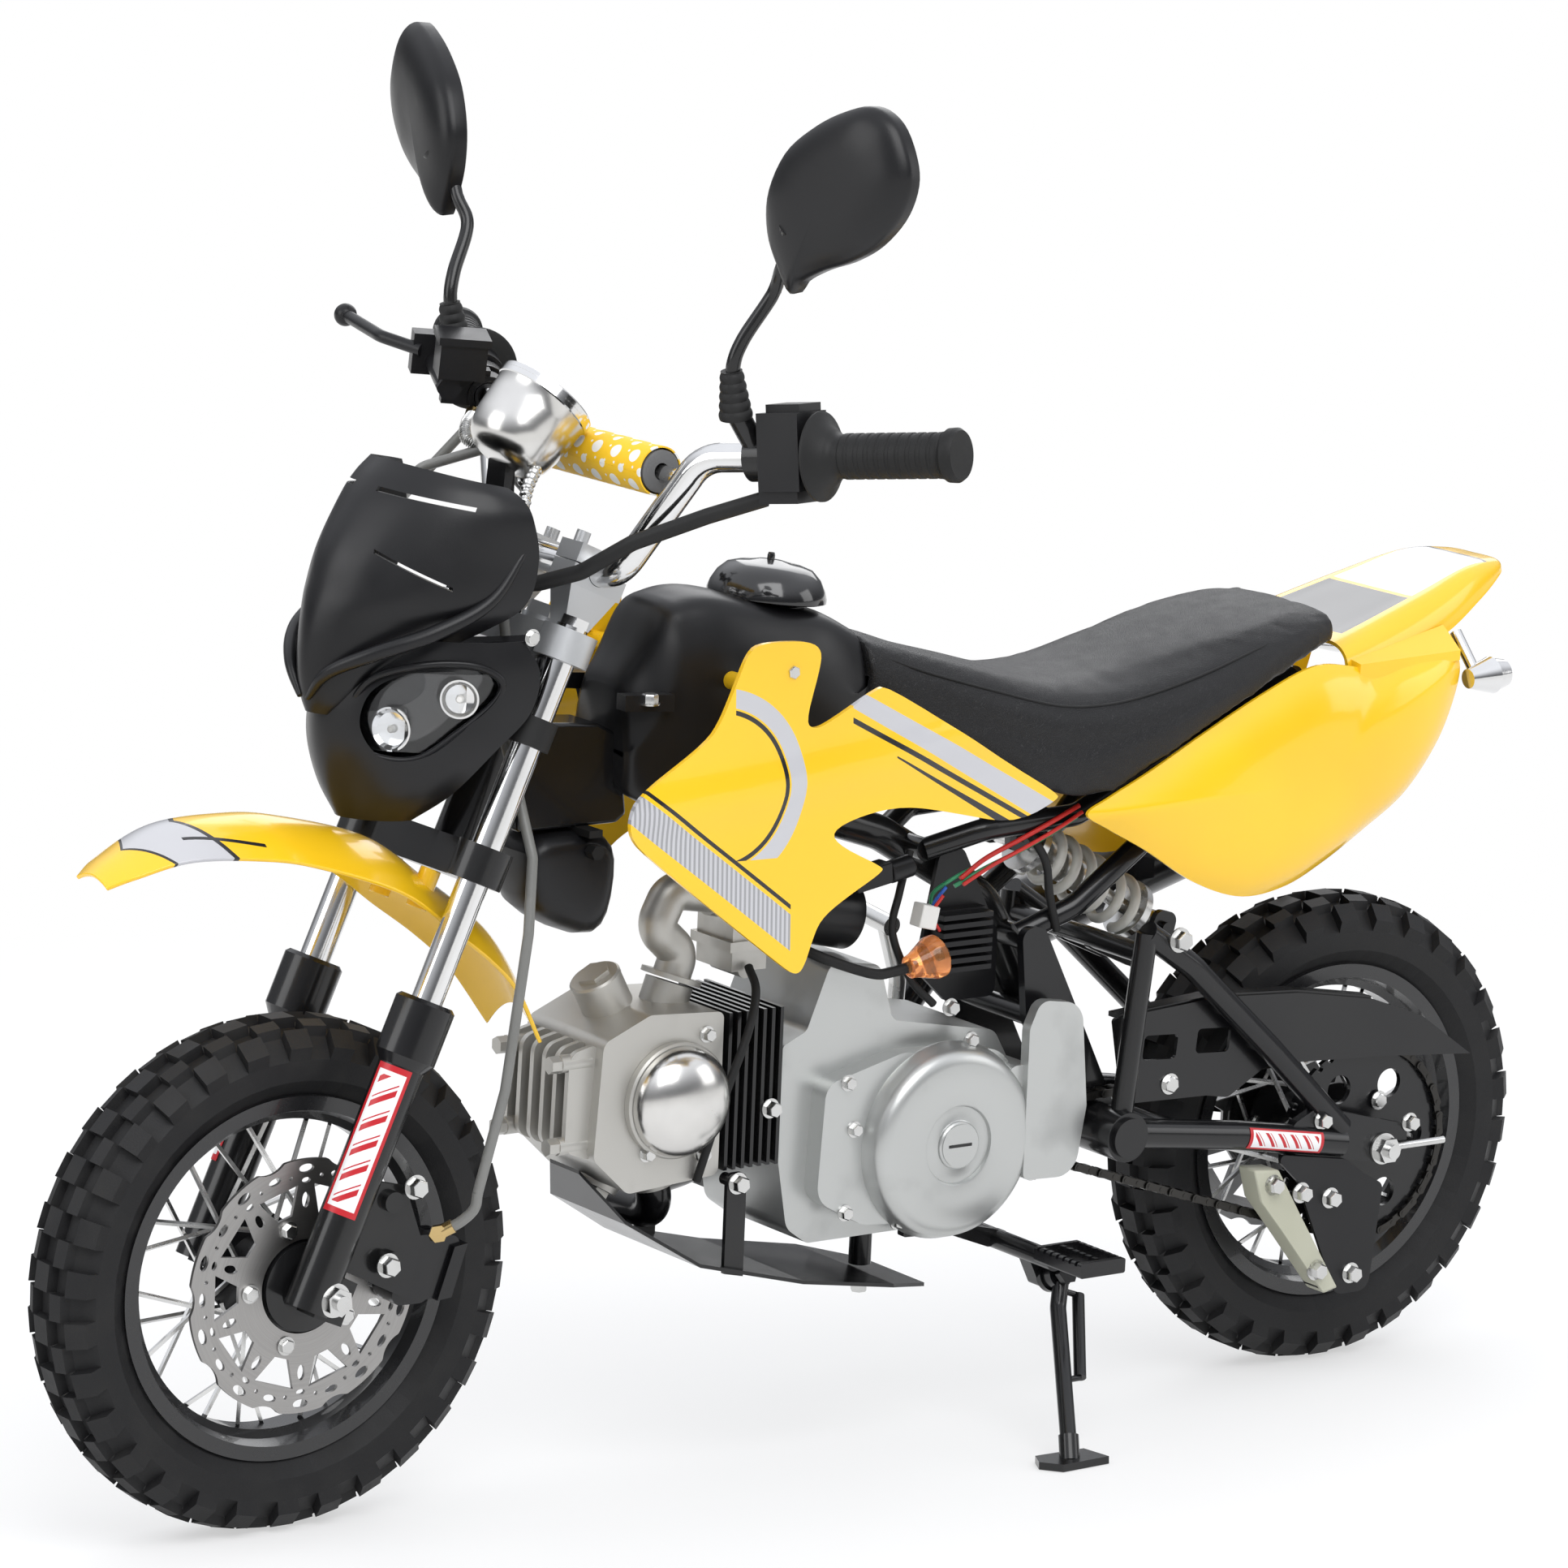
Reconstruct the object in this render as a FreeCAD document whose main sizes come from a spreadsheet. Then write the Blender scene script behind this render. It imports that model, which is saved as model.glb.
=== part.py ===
"""Kids' dirt bike with 10 inch wire wheels, leaning on its side stand.

All lengths are millimetres. Every sub-part is drawn in the upright bike frame (X forward from
the rear axle, Y to the rider's left, Z up from the ground), in the fork frame or in a wheel
frame, and its Placement leans it over onto the stand.
"""
import FreeCAD, Part
import math
import os

from FreeCAD import Placement, Rotation, Vector

os.makedirs("parts", exist_ok=True)
doc = FreeCAD.newDocument("kids_dirt_bike")
sheet = doc.addObject("Spreadsheet::Sheet", "sizes")

# alias, value, what it is (millimetres, degrees or a count)
SIZES = (
    ("wheelbase", 1000, "between the axles"),
    ("tyre_radius", 195, "to the tops of the centre lugs, a 2.50-10 tyre"),
    ("lug_height", 8, "centre lug above the carcass"),
    ("lug_pitches", 30, "count of tread pitches round a tyre"),
    ("centre_lug_half", 9, "half the width of a centre lug"),
    ("rim_flange_radius", 139, "outside of the rim's flange"),
    ("rim_half_width", 26, "outside of the flange from the wheel's middle"),
    ("rim_inner_radius", 118.5, "the rim's well, seen from the hub"),
    ("spoke_count", 28, "per wheel"),
    ("spoke_radius", 1.6, "spoke wire"),
    ("hub_barrel_radius", 22, "between the spoke flanges"),
    ("spoke_flange_radius", 40, "hub flanges for the spokes"),
    ("spoke_flange_half", 29, "outer face of a spoke flange from the middle"),
    ("disc_seat_half", 45, "hub face that carries the disc"),
    ("disc_radius", 97, "brake disc"),
    ("disc_bore_radius", 36, "hole in the disc round the hub"),
    ("disc_thickness", 3, "brake disc"),
    ("disc_bolt_circle", 46, "radius of the disc's bolts"),
    ("axle_radius", 6, "both axles"),
    ("bearing_gap", 0.3, "running gap round an axle or pin"),
    ("seat_gap", 0.3, "gap between pieces that are seated on each other"),
    ("rake", 23.43, "steering axis from vertical"),
    ("steer_offset", 18, "steering axis behind the front axle, square to the axis"),
    ("fork_lead", 11, "fork legs ahead of the front axle, square to the axis"),
    ("fork_half", 78, "fork leg from the middle"),
    ("stanchion_radius", 12, "chrome fork tube"),
    ("slider_radius", 17.5, "lower fork leg"),
    ("slider_top", 229, "top of the lower leg along the fork"),
    ("slider_foot", 14, "lower leg below the axle line"),
    ("collar_radius", 23, "dust collar on the lower leg"),
    ("collar_length", 44, "dust collar"),
    ("lower_clamp_at", 322, "underside of the lower clamp along the fork"),
    ("lower_clamp_height", 28, "lower clamp"),
    ("upper_clamp_at", 497, "underside of the upper clamp along the fork"),
    ("upper_clamp_height", 24, "upper clamp"),
    ("bar_lead", -9, "handlebar centre ahead of the front axle, square to the steering axis"),
    ("bar_half", 330, "handlebar's end from the middle"),
    ("bar_height", 571, "handlebar centre along the fork"),
    ("bar_radius", 11, "22 mm handlebar"),
    ("pad_half", 100, "crossbar pad's end from the middle"),
    ("mirror_depth", 24, "mirror housing"),
    ("pad_radius", 17.5, "crossbar pad"),
    ("brace_radius", 6, "crossbar of the handlebar"),
    ("riser_half", 45, "bar riser from the middle"),
    ("grip_radius", 16, "rubber grip"),
    ("grip_length", 117, "rubber grip"),
    ("head_tube_radius", 20, "outside of the head tube"),
    ("stem_radius", 12, "steering stem"),
    ("frame_tube_radius", 14, "main frame tubes"),
    ("swing_tube_radius", 12, "lower swingarm tubes"),
    ("swing_half", 88, "swingarm tube from the middle"),
    ("pivot_x", 275, "swingarm pivot ahead of the rear axle"),
    ("pivot_z", 238, "swingarm pivot above the ground"),
    ("shock_bolt_radius", 4.7, "bolts through the shock's eyes"),
    ("pivot_bolt_radius", 8, "bolt through the frame and the swingarm"),
    ("chain_line", 64, "chain from the middle"),
    ("sprocket_radius", 80, "rear sprocket's pitch circle"),
    ("sprocket_teeth", 40, "rear sprocket"),
    ("chain_pitch", 12.7, "between the chain's pins"),
    ("drive_x", 316, "engine sprocket ahead of the rear axle"),
    ("drive_z", 240, "engine sprocket above the ground"),
    ("drive_radius", 24, "front run of the chain round the engine's sprocket"),
    ("lean", 4, "lean onto the side stand"),
    ("stand_pivot_x", 337, "side stand's pivot"),
    ("stand_pivot_y", 92, "side stand's pivot"),
    ("stand_pivot_z", 130, "side stand's pivot"),
    ("stand_foot_x", 394, "side stand's foot"),
    ("stand_foot_y", 202, "side stand's foot"),
    ("stand_axis_tilt", 20, "side stand's bolt out of level"),
    ("datum_x", 500, "origin ahead of the rear axle"),
    ("datum_y", 71.92, "origin left of the tyres' line on the ground"),
)
for row, (alias, value, _) in enumerate(SIZES, start=1):
    sheet.set("A%d" % row, str(value))
    sheet.setAlias("A%d" % row, alias)
doc.recompute()


def mm(alias):
    """The sheet's value for a size."""
    return float(sheet.get(alias))


LEAN = mm("lean")
GROUND_LIFT = mm("centre_lug_half") * math.sin(math.radians(LEAN))
BIKE = Placement(Vector(-mm("datum_x"), -mm("datum_y"), GROUND_LIFT), Rotation(Vector(1, 0, 0), -LEAN))
FORK = BIKE * Placement(Vector(mm("wheelbase"), 0, mm("tyre_radius")), Rotation(Vector(0, 1, 0), -mm("rake")))
AXLE_UP = Rotation(Vector(1, 0, 0), -90)
FRONT_WHEEL = BIKE * Placement(Vector(mm("wheelbase"), 0, mm("tyre_radius")), AXLE_UP)
REAR_WHEEL = BIKE * Placement(Vector(0, 0, mm("tyre_radius")), AXLE_UP)
LEFT, RIGHT = 1, -1


def rod(start, end, radius):
    """A round bar between two points."""
    start, end = Vector(*start), Vector(*end)
    return Part.makeCylinder(radius, (end - start).Length, start, end - start)


def box(low, high):
    """A block between two corners."""
    return Part.makeBox(high[0] - low[0], high[1] - low[1], high[2] - low[2], Vector(*low))


def fuse(shapes):
    """One clean solid from shapes that overlap."""
    first = shapes[0]
    joined = (first.multiFuse(shapes[1:]) if len(shapes) > 1 else first).removeSplitter()
    return joined.Solids[0] if len(joined.Solids) == 1 else joined


def compound(shapes):
    """Solids side by side in one piece."""
    return Part.makeCompound(shapes)


def mirror(shape):
    """The same shape on the bike's other side."""
    return shape.mirror(Vector(0, 0, 0), Vector(0, 1, 0))


def corner_arc(before, corner, after, radius):
    """Start, middle and end of the arc that rounds a corner."""
    back, ahead = (before - corner).normalize(), (after - corner).normalize()
    half = back.getAngle(ahead) / 2
    reach = radius / math.tan(half)
    middle_dir = (back + ahead).normalize()
    middle = corner + middle_dir * (radius / math.sin(half) - radius)
    return corner + back * reach, middle, corner + ahead * reach


def rounded_path(points, radius):
    """An open wire of straight runs joined by tangent arcs of one radius."""
    points = [Vector(*p) for p in points]
    edges, start = [], points[0]
    for before, corner, after in zip(points, points[1:], points[2:]):
        first, middle, last = corner_arc(before, corner, after, radius)
        edges.append(Part.makeLine(start, first))
        edges.append(Part.Arc(first, middle, last).toShape())
        start = last
    edges.append(Part.makeLine(start, points[-1]))
    return Part.Wire(edges)


def tube(points, radius, bend):
    """A round tube along straight runs and tangent bends."""
    first, second = Vector(*points[0]), Vector(*points[1])
    section = Part.Face(Part.Wire([Part.makeCircle(radius, first, second - first)]))
    return rounded_path(points, bend).makePipe(section)


def outline(points):
    """A closed wire from (x, z, corner radius) rows, drawn in the XZ plane."""
    corners = [(Vector(p[0], 0, p[1]), p[2] if len(p) > 2 else 0) for p in points]
    edges, joints = [], []
    count = len(corners)
    for i, (corner, radius) in enumerate(corners):
        before, after = corners[i - 1][0], corners[(i + 1) % count][0]
        joints.append(corner_arc(before, corner, after, radius) if radius else (corner, None, corner))
    for i, (first, middle, last) in enumerate(joints):
        if middle is not None:
            edges.append(Part.Arc(first, middle, last).toShape())
        following = joints[(i + 1) % count][0]
        if (following - last).Length > 1e-6:
            edges.append(Part.makeLine(last, following))
    return Part.Wire(edges)


def slab(points, y_low, y_high):
    """A flat plate: an XZ outline between two values of Y."""
    face = Part.Face(outline(points))
    face.translate(Vector(0, y_low, 0))
    return face.extrude(Vector(0, y_high - y_low, 0))


def loft(sections):
    """A solid through closed sections, each a list of points, with straight sides."""
    wires = [Part.makePolygon([Vector(*p) for p in section] + [Vector(*section[0])]) for section in sections]
    return Part.makeLoft(wires, True, True)


def revolve(profile, axis_from, axis_dir):
    """A closed profile of points turned about an axis."""
    face = Part.Face(Part.makePolygon([Vector(*p) for p in profile] + [Vector(*profile[0])]))
    return face.revolve(Vector(*axis_from), Vector(*axis_dir), 360)


def turned(profile):
    """A ring or plug about Z from a closed (radius, z) profile."""
    return revolve([(radius, 0, z) for radius, z in profile], (0, 0, 0), (0, 0, 1))


def hex_bar(centre, axis, across, length, sides=6):
    """A nut, bolt head or wire with flat sides, standing on its centre."""
    centre, axis = Vector(*centre), Vector(*axis).normalize()
    corner = across / 2 / math.cos(math.pi / sides)
    turns = [2 * math.pi * k / sides for k in range(sides)]
    flat = Part.makePolygon([Vector(corner * math.cos(a), corner * math.sin(a), 0) for a in turns + [0]])
    head = Part.Face(flat).extrude(Vector(0, 0, length))
    head.Placement = Placement(centre, Rotation(Vector(0, 0, 1), axis))
    return head


pieces = []


def add(node, shape, frame=BIKE):
    """Store a finished shape as a sub-part of the document."""
    feature = doc.addObject("Part::Feature", node)
    feature.Label = node
    feature.Shape = shape
    feature.Placement = frame * shape.Placement
    pieces.append(feature)


def add_body(node, frame):
    """An empty body with its own label and placement."""
    body = doc.addObject("PartDesign::Body", node)
    body.Label = node
    body.Placement = frame
    pieces.append(body)
    return body


def origin_of(body, role):
    """An origin plane or axis of a body."""
    return next(item for item in body.Origin.OriginFeatures if item.Role == role)


def sketch_in(body, name, role):
    """An empty sketch on one of the body's own planes."""
    sketch = body.newObject("Sketcher::SketchObject", name)
    sketch.AttachmentSupport = [(origin_of(body, role), "")]
    sketch.MapMode = "FlatFace"
    return sketch


def draw_polygon(sketch, points):
    """Closed straight outline in a sketch."""
    for (x1, y1), (x2, y2) in zip(points, points[1:] + points[:1]):
        sketch.addGeometry(Part.LineSegment(Vector(x1, y1, 0), Vector(x2, y2, 0)), False)


def draw_circle(sketch, x, y, radius):
    """Circle in a sketch."""
    sketch.addGeometry(Part.Circle(Vector(x, y, 0), Vector(0, 0, 1), radius), False)


def turned_body(node, frame, profile):
    """A body turned about its Z axis from (radius, z) points."""
    body = add_body(node, frame)
    sketch = sketch_in(body, node + "_profile", "XZ_Plane")
    draw_polygon(sketch, profile)
    turn = body.newObject("PartDesign::Revolution", node + "_turn")
    turn.Profile = sketch
    turn.ReferenceAxis = (origin_of(body, "Z_Axis"), [""])
    turn.Angle = 360
    body.Tip = turn
    return body


def pattern_cut(body, name, draw, count):
    """A pocket right through, repeated round the body's Z axis."""
    sketch = sketch_in(body, name + "_sketch", "XY_Plane")
    draw(sketch)
    pocket = body.newObject("PartDesign::Pocket", name)
    pocket.Profile = sketch
    pocket.Type = 1
    pocket.Midplane = True
    doc.recompute()
    pattern = body.newObject("PartDesign::PolarPattern", name + "_round")
    pattern.Originals = [pocket]
    pattern.Axis = (origin_of(body, "Z_Axis"), [""])
    pattern.Angle = 360
    pattern.Occurrences = count
    body.Tip = pattern
    doc.recompute()
    return pattern


# Wheels

def tyre():
    """Knobbly tyre: one pitch of the tread as flat faces, repeated round the wheel.

    Each pitch has a first half with a centre lug and two shoulder lugs and a second half with
    the two lugs between them.
    """
    pitches = int(mm("lug_pitches"))
    half_turn = math.pi / pitches
    # the middle of a lug's flat top lies at the tyre's radius, and one such flat meets the ground
    top = mm("tyre_radius") / math.cos(half_turn / 2)
    crown = top - mm("lug_height")
    centre = mm("centre_lug_half")
    flange, half = mm("rim_flange_radius"), mm("rim_half_width")
    # z from the middle, radius
    side = [(half - 3.8, flange - 8.9), (half - 2.9, flange + 0.6), (half + 7, flange + 13), (half + 8.5, crown - 19)]
    groove, inner = (half - 3, crown - 3.8), (centre + 1, crown)
    shoulder = [side[-1], (half + 11.2, crown - 9), (half + 0.5, crown + 3), groove]
    middle = [inner, (centre, top), (-centre, top), (-inner[0], inner[1])]
    between = [groove, (half - 4, top - 4.2), (centre + 3, top - 0.8), inner]

    def flip(row):
        return [(-z, r) for z, r in reversed(row)]

    first = side[:-1] + shoulder[:-1] + [groove] + middle + [flip([groove])[0]] + flip(shoulder)[1:] + flip(side)[1:]
    second = side + between[:-1] + [inner] + flip([inner]) + flip(between)[1:] + flip(side)

    def at(point, angle):
        angle += half_turn / 2
        return Vector(point[1] * math.cos(angle), point[1] * math.sin(angle), point[0])

    faces = []
    for k in range(pitches):
        for profile, start in ((first, 2 * k * half_turn), (second, (2 * k + 1) * half_turn)):
            for a, b in zip(profile, profile[1:] + profile[:1]):
                corners = [at(a, start), at(b, start), at(b, start + half_turn), at(a, start + half_turn)]
                faces.append(Part.Face(Part.makePolygon(corners + corners[:1])))
        for angle in (2 * k * half_turn, (2 * k + 1) * half_turn):
            for lug in (shoulder, flip(shoulder), middle, between, flip(between)):
                faces.append(Part.Face(Part.makePolygon([at(p, angle) for p in lug + lug[:1]])))
    skin = Part.makeShell(faces)
    skin.sewShape()
    return Part.Solid(Part.Shell(skin.Faces))


def rim_profile():
    """The rim's closed section as (radius, z) points."""
    flange, half, well = mm("rim_flange_radius"), mm("rim_half_width"), mm("rim_inner_radius")
    outer = [(flange, half), (flange, half - 2.5), (flange - 9.5, half - 3.4), (flange - 11.5, half - 13),
             (well + 3, half - 17)]
    inner = [(flange - 11, half), (well + 6, half - 10.5), (well, half - 15)]
    outer_round = outer + [(r, -z) for r, z in reversed(outer)]
    return outer_round + [(r, -z) for r, z in inner] + list(reversed(inner))


def spokes():
    """Crossed wire spokes, leading and trailing by turns, from both flanges into the rim."""
    count = int(mm("spoke_count"))
    wire = mm("spoke_radius")
    hole_radius = mm("spoke_flange_radius") - 1.5
    outside = mm("spoke_flange_half") + wire + 1.5
    inside = mm("spoke_flange_half") - 3 - wire - 2.2
    rim_end = mm("rim_inner_radius") + 2
    swing = math.radians(46)
    wires = []
    for k in range(count):
        side = LEFT if k % 2 == 0 else RIGHT
        leading = (k // 2) % 2 == 0
        rim_angle = 2 * math.pi * k / count
        hub_angle = rim_angle + (swing if leading else -swing)
        start = Vector(hole_radius * math.cos(hub_angle), hole_radius * math.sin(hub_angle),
                       side * (outside if leading else inside))
        end = Vector(rim_end * math.cos(rim_angle), rim_end * math.sin(rim_angle), side * 4)
        wires.append(hex_bar(start, end - start, wire * 1.8, (end - start).Length, 4))
    return wires


def laced_rim():
    """The rim with its spokes set in it."""
    return fuse([turned(rim_profile())] + spokes())


def hub_profile(disc_side_half, other_half):
    """Hub from the disc's side (+z) to the other side, as (radius, z) points."""
    bore = mm("axle_radius") + mm("bearing_gap")
    barrel, flange = mm("hub_barrel_radius"), mm("spoke_flange_radius")
    face = mm("spoke_flange_half")
    seat = mm("disc_seat_half")
    carrier = mm("disc_bolt_circle") + 7
    cap = mm("disc_bore_radius") - 2
    return [(bore, disc_side_half), (cap - 12, disc_side_half), (cap, disc_side_half - 3), (cap, seat),
            (carrier, seat), (carrier, seat - 5), (barrel + 6, seat - 7), (barrel + 6, face),
            (flange, face), (flange, face - 3), (barrel, face - 6), (barrel, 6 - face),
            (flange, 3 - face), (flange, -face), (barrel + 4, -face), (barrel, -other_half), (bore, -other_half)]


def brake_disc(node, frame):
    """Drilled disc with a waved edge, arms between two rings and bolt holes."""
    seat, thick = mm("disc_seat_half"), mm("disc_thickness")
    outer, bolts = mm("disc_radius"), mm("disc_bolt_circle")
    body = turned_body(node, frame, [(mm("disc_bore_radius"), seat), (outer, seat),
                                     (outer, seat + thick), (mm("disc_bore_radius"), seat + thick)])
    waves = 10
    reach = math.pi / waves

    def wave(sketch):
        draw_circle(sketch, outer + 17, 0, 21)

    def window(sketch):
        low, high = bolts + 10, outer - 19
        draw_polygon(sketch, [(low * math.cos(0.35 * reach), -low * math.sin(0.35 * reach)),
                              (high * math.cos(0.72 * reach), -high * math.sin(0.72 * reach)),
                              (high * math.cos(0.72 * reach), high * math.sin(0.72 * reach)),
                              (low * math.cos(0.35 * reach), low * math.sin(0.35 * reach))])

    def bolt(sketch):
        draw_circle(sketch, bolts, 0, 3.2)

    pattern_cut(body, node + "_wave", wave, waves)
    pattern_cut(body, node + "_window", window, waves)
    pattern_cut(body, node + "_bolt", bolt, 5)


def front_wheel():
    """Front tyre, laced rim, hub and disc."""
    add("front_tyre", tyre(), FRONT_WHEEL)
    add("front_rim", laced_rim(), FRONT_WHEEL)
    inner_face = mm("fork_half") - mm("slider_radius") - 0.5
    turned_body("front_hub", FRONT_WHEEL, hub_profile(inner_face - 6, inner_face - 6))
    brake_disc("front_disc", FRONT_WHEEL)


def rear_wheel():
    """Rear tyre, laced rim, hub, disc on the right and sprocket on the left."""
    flipped = REAR_WHEEL * Placement(Vector(0, 0, 0), Rotation(Vector(1, 0, 0), 180))
    add("rear_tyre", tyre(), REAR_WHEEL)
    add("rear_rim", laced_rim(), REAR_WHEEL)
    turned_body("rear_hub", flipped, hub_profile(mm("disc_seat_half") + 8, mm("chain_line") - 3))
    brake_disc("rear_disc", flipped)
    rear_sprocket()


def rear_sprocket():
    """Toothed ring with round windows, on the hub's left end."""
    teeth, pitch_r = int(mm("sprocket_teeth")), mm("sprocket_radius")
    line = mm("chain_line")
    roller = 3.2
    body = turned_body("rear_sprocket", REAR_WHEEL,
                       [(mm("axle_radius") + mm("bearing_gap"), line - 3), (pitch_r + 3, line - 3),
                        (pitch_r + 3, line + 1.5), (mm("axle_radius") + mm("bearing_gap"), line + 1.5)])

    def tooth_gap(sketch):
        draw_circle(sketch, pitch_r + 1, 0, roller)

    def window(sketch):
        draw_circle(sketch, pitch_r * 0.66, 0, 12)

    pattern_cut(body, "tooth_gap", tooth_gap, teeth)
    pattern_cut(body, "sprocket_window", window, 6)


# Fork and handlebar, drawn in the fork frame: X square to the steering axis, Z along it

def both_legs(make):
    """The same piece on both fork legs."""
    return [make(side * mm("fork_half")) for side in (LEFT, RIGHT)]


def fork_tubes():
    """Chrome tubes from inside the sliders up to the upper clamp, each with a top bolt."""
    lead, radius = mm("fork_lead"), mm("stanchion_radius")
    low = mm("slider_top") - 30
    high = mm("upper_clamp_at") + mm("upper_clamp_height") + 3

    def leg(y):
        cap = hex_bar((lead, y, high), (0, 0, 1), 20, 7)
        return fuse([rod((lead, y, low), (lead, y, high), radius), cap])

    add("fork_tubes", compound(both_legs(leg)), FORK)


def fork_sliders():
    """Black lower legs with a dust collar, an axle lug behind and a bore for the tube."""
    lead, radius = mm("fork_lead"), mm("slider_radius")
    top, foot = mm("slider_top"), -mm("slider_foot")
    collar, collar_length = mm("collar_radius"), mm("collar_length")
    bore = mm("stanchion_radius") + mm("seat_gap")

    def leg(y):
        leg_body = fuse([
            rod((lead, y, foot), (lead, y, top), radius),
            Part.makeCone(radius, collar, 8, Vector(lead, y, top - collar_length - 8)),
            rod((lead, y, top - collar_length), (lead, y, top - 3), collar),
            Part.makeCone(collar, collar - 3, 3, Vector(lead, y, top - 3)),
            box((-15, y - 12, -17), (lead, y + 12, 17)),
        ])
        holes = fuse([rod((lead, y, top - 31), (lead, y, top + 1), bore),
                      rod((0, y - 30, 0), (0, y + 30, 0), mm("axle_radius") + 0.1)]
                     + [rod((0, y + reach * 12, 0), (0, y + reach * 30, 0), 13.5) for reach in (-1, 1)])
        return leg_body.cut(holes)

    add("fork_sliders", compound(both_legs(leg)), FORK)


def front_axle():
    """Axle with spacers beside the hub, a head and a nut outside the legs."""
    out = mm("fork_half") + 12.3
    inner = mm("fork_half") - 12 - mm("seat_gap")
    hub_end = mm("fork_half") - mm("slider_radius") - 6.5
    shaft = rod((0, -out - 14, 0), (0, out + 14, 0), mm("axle_radius"))
    ends = [hex_bar((0, side * out, 0), (0, side, 0), 19, 10) for side in (LEFT, RIGHT)]
    washers = [rod((0, side * out, 0), (0, side * (out + 2), 0), 13) for side in (LEFT, RIGHT)]
    spacers = [rod((0, side * (hub_end + 0.5), 0), (0, side * inner, 0), 9) for side in (LEFT, RIGHT)]
    add("front_axle", fuse([shaft] + ends + washers + spacers), FORK)


def clamp_plate(low, height, nose, name_holes):
    """Outline of a fork clamp seen along the steering axis, with bores for both legs."""
    half, lead, steer = mm("fork_half"), mm("fork_lead"), -mm("steer_offset")
    ear = mm("stanchion_radius") + 9
    plates = [rod((lead, side * half, low), (lead, side * half, low + height), ear) for side in (LEFT, RIGHT)]
    plates.append(rod((steer, 0, low), (steer, 0, low + height), 24))
    web = Part.Face(Part.makePolygon([Vector(x, y, low) for x, y in (
        (lead + 8, half), (nose, 18), (nose, -18), (lead + 8, -half), (lead - 14, -half), (steer - 18, -16),
        (steer - 18, 16), (lead - 14, half), (lead + 8, half))])).extrude(Vector(0, 0, height))
    body = fuse(plates + [web])
    holes = [rod((lead, side * half, low - 1), (lead, side * half, low + height + 1),
                 mm("stanchion_radius") + mm("seat_gap")) for side in (LEFT, RIGHT)]
    return body.cut(fuse(holes) if not name_holes else fuse(holes + name_holes))


def steering_clamps():
    """Lower clamp with the stem in one piece, and the silver upper clamp bored for it."""
    steer, stem = -mm("steer_offset"), mm("stem_radius")
    low, high = mm("lower_clamp_at"), mm("upper_clamp_at")
    top = high + mm("upper_clamp_height")
    stem_bar = rod((steer, 0, low), (steer, 0, top + 6), stem)
    add("lower_clamp", fuse([clamp_plate(low, mm("lower_clamp_height"), 14, None), stem_bar]), FORK)
    hole = rod((steer, 0, high - 1), (steer, 0, top + 1), stem + mm("seat_gap"))
    upper = clamp_plate(high, mm("upper_clamp_height"), 32, [hole])
    nut = hex_bar((steer, 0, top + 6), (0, 0, 1), 30, 10)
    washer = turned([(stem + mm("seat_gap"), -0.5), (18, -0.5), (18, 6.5), (stem + mm("seat_gap"), 6.5)])
    washer.translate(Vector(steer, 0, top))
    cap_hole = rod((steer, 0, top + 5), (steer, 0, top + 6.3), stem + mm("seat_gap"))
    add("upper_clamp", fuse([upper, washer, nut.cut(cap_hole)] + bar_risers()), FORK)


def bar_risers():
    """Two risers on the upper clamp, each with a split cap held by two bolts."""
    lead, height, half = mm("bar_lead"), mm("bar_height"), mm("riser_half")
    low = mm("upper_clamp_at") + mm("upper_clamp_height") - 1
    bore = mm("bar_radius") + mm("seat_gap")
    risers = []
    for side in (LEFT, RIGHT):
        y = side * half

        def ring(reach, width, along):
            return [(lead + a * reach, y + b * width, along) for a, b in ((-1, -1), (1, -1), (1, 1), (-1, 1))]

        body = fuse([loft([ring(9, 9, low), ring(22, 14, height - 16)]),
                     box((lead - 25, y - 14, height - 16), (lead + 25, y + 14, height + 15))])
        split = [box((low_x, y - 15, height - 0.6), (high_x, y + 15, height + 0.6))
                 for low_x, high_x in ((lead - 30, lead - bore + 1), (lead + bore - 1, lead + 30))]
        body = body.cut(fuse([rod((lead, y - 20, height), (lead, y + 20, height), bore)] + split))
        bolts = [rod((lead + reach, y, height - 5), (lead + reach, y, height + 24), 5.5) for reach in (-18, 18)]
        risers.append(fuse([body] + bolts))
    return risers


def fork_point(lead, across, along):
    """A point of the fork frame in the bike frame."""
    point = (BIKE.inverse() * FORK).multVec(Vector(lead, across, along))
    return (point.x, point.y, point.z)


BAR_CENTRE = fork_point(mm("bar_lead"), 0, mm("bar_height"))
# x, y, z of the left half of the handlebar from the clamp out to the grip's end
BAR_ROUTE = ((BAR_CENTRE[0], 80, BAR_CENTRE[2]), (735, 142, 812), (645, mm("bar_half"), 837))


def bar_spot(side, from_end):
    """Point on the bar's straight end, and its direction outwards, on one side."""
    inner, outer = Vector(*BAR_ROUTE[1]), Vector(*BAR_ROUTE[2])
    direction = (outer - inner).normalize()
    point = outer - direction * from_end
    return Vector(point.x, side * point.y, point.z), Vector(direction.x, side * direction.y, direction.z)


def crossbar_ends():
    """Ends of the crossbar, on the bar's rising stretches."""
    share = 0.82
    x, y, z = [a + (b - a) * share for a, b in zip(BAR_ROUTE[0], BAR_ROUTE[1])]
    return (x, -y, z), (x, y, z)


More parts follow.
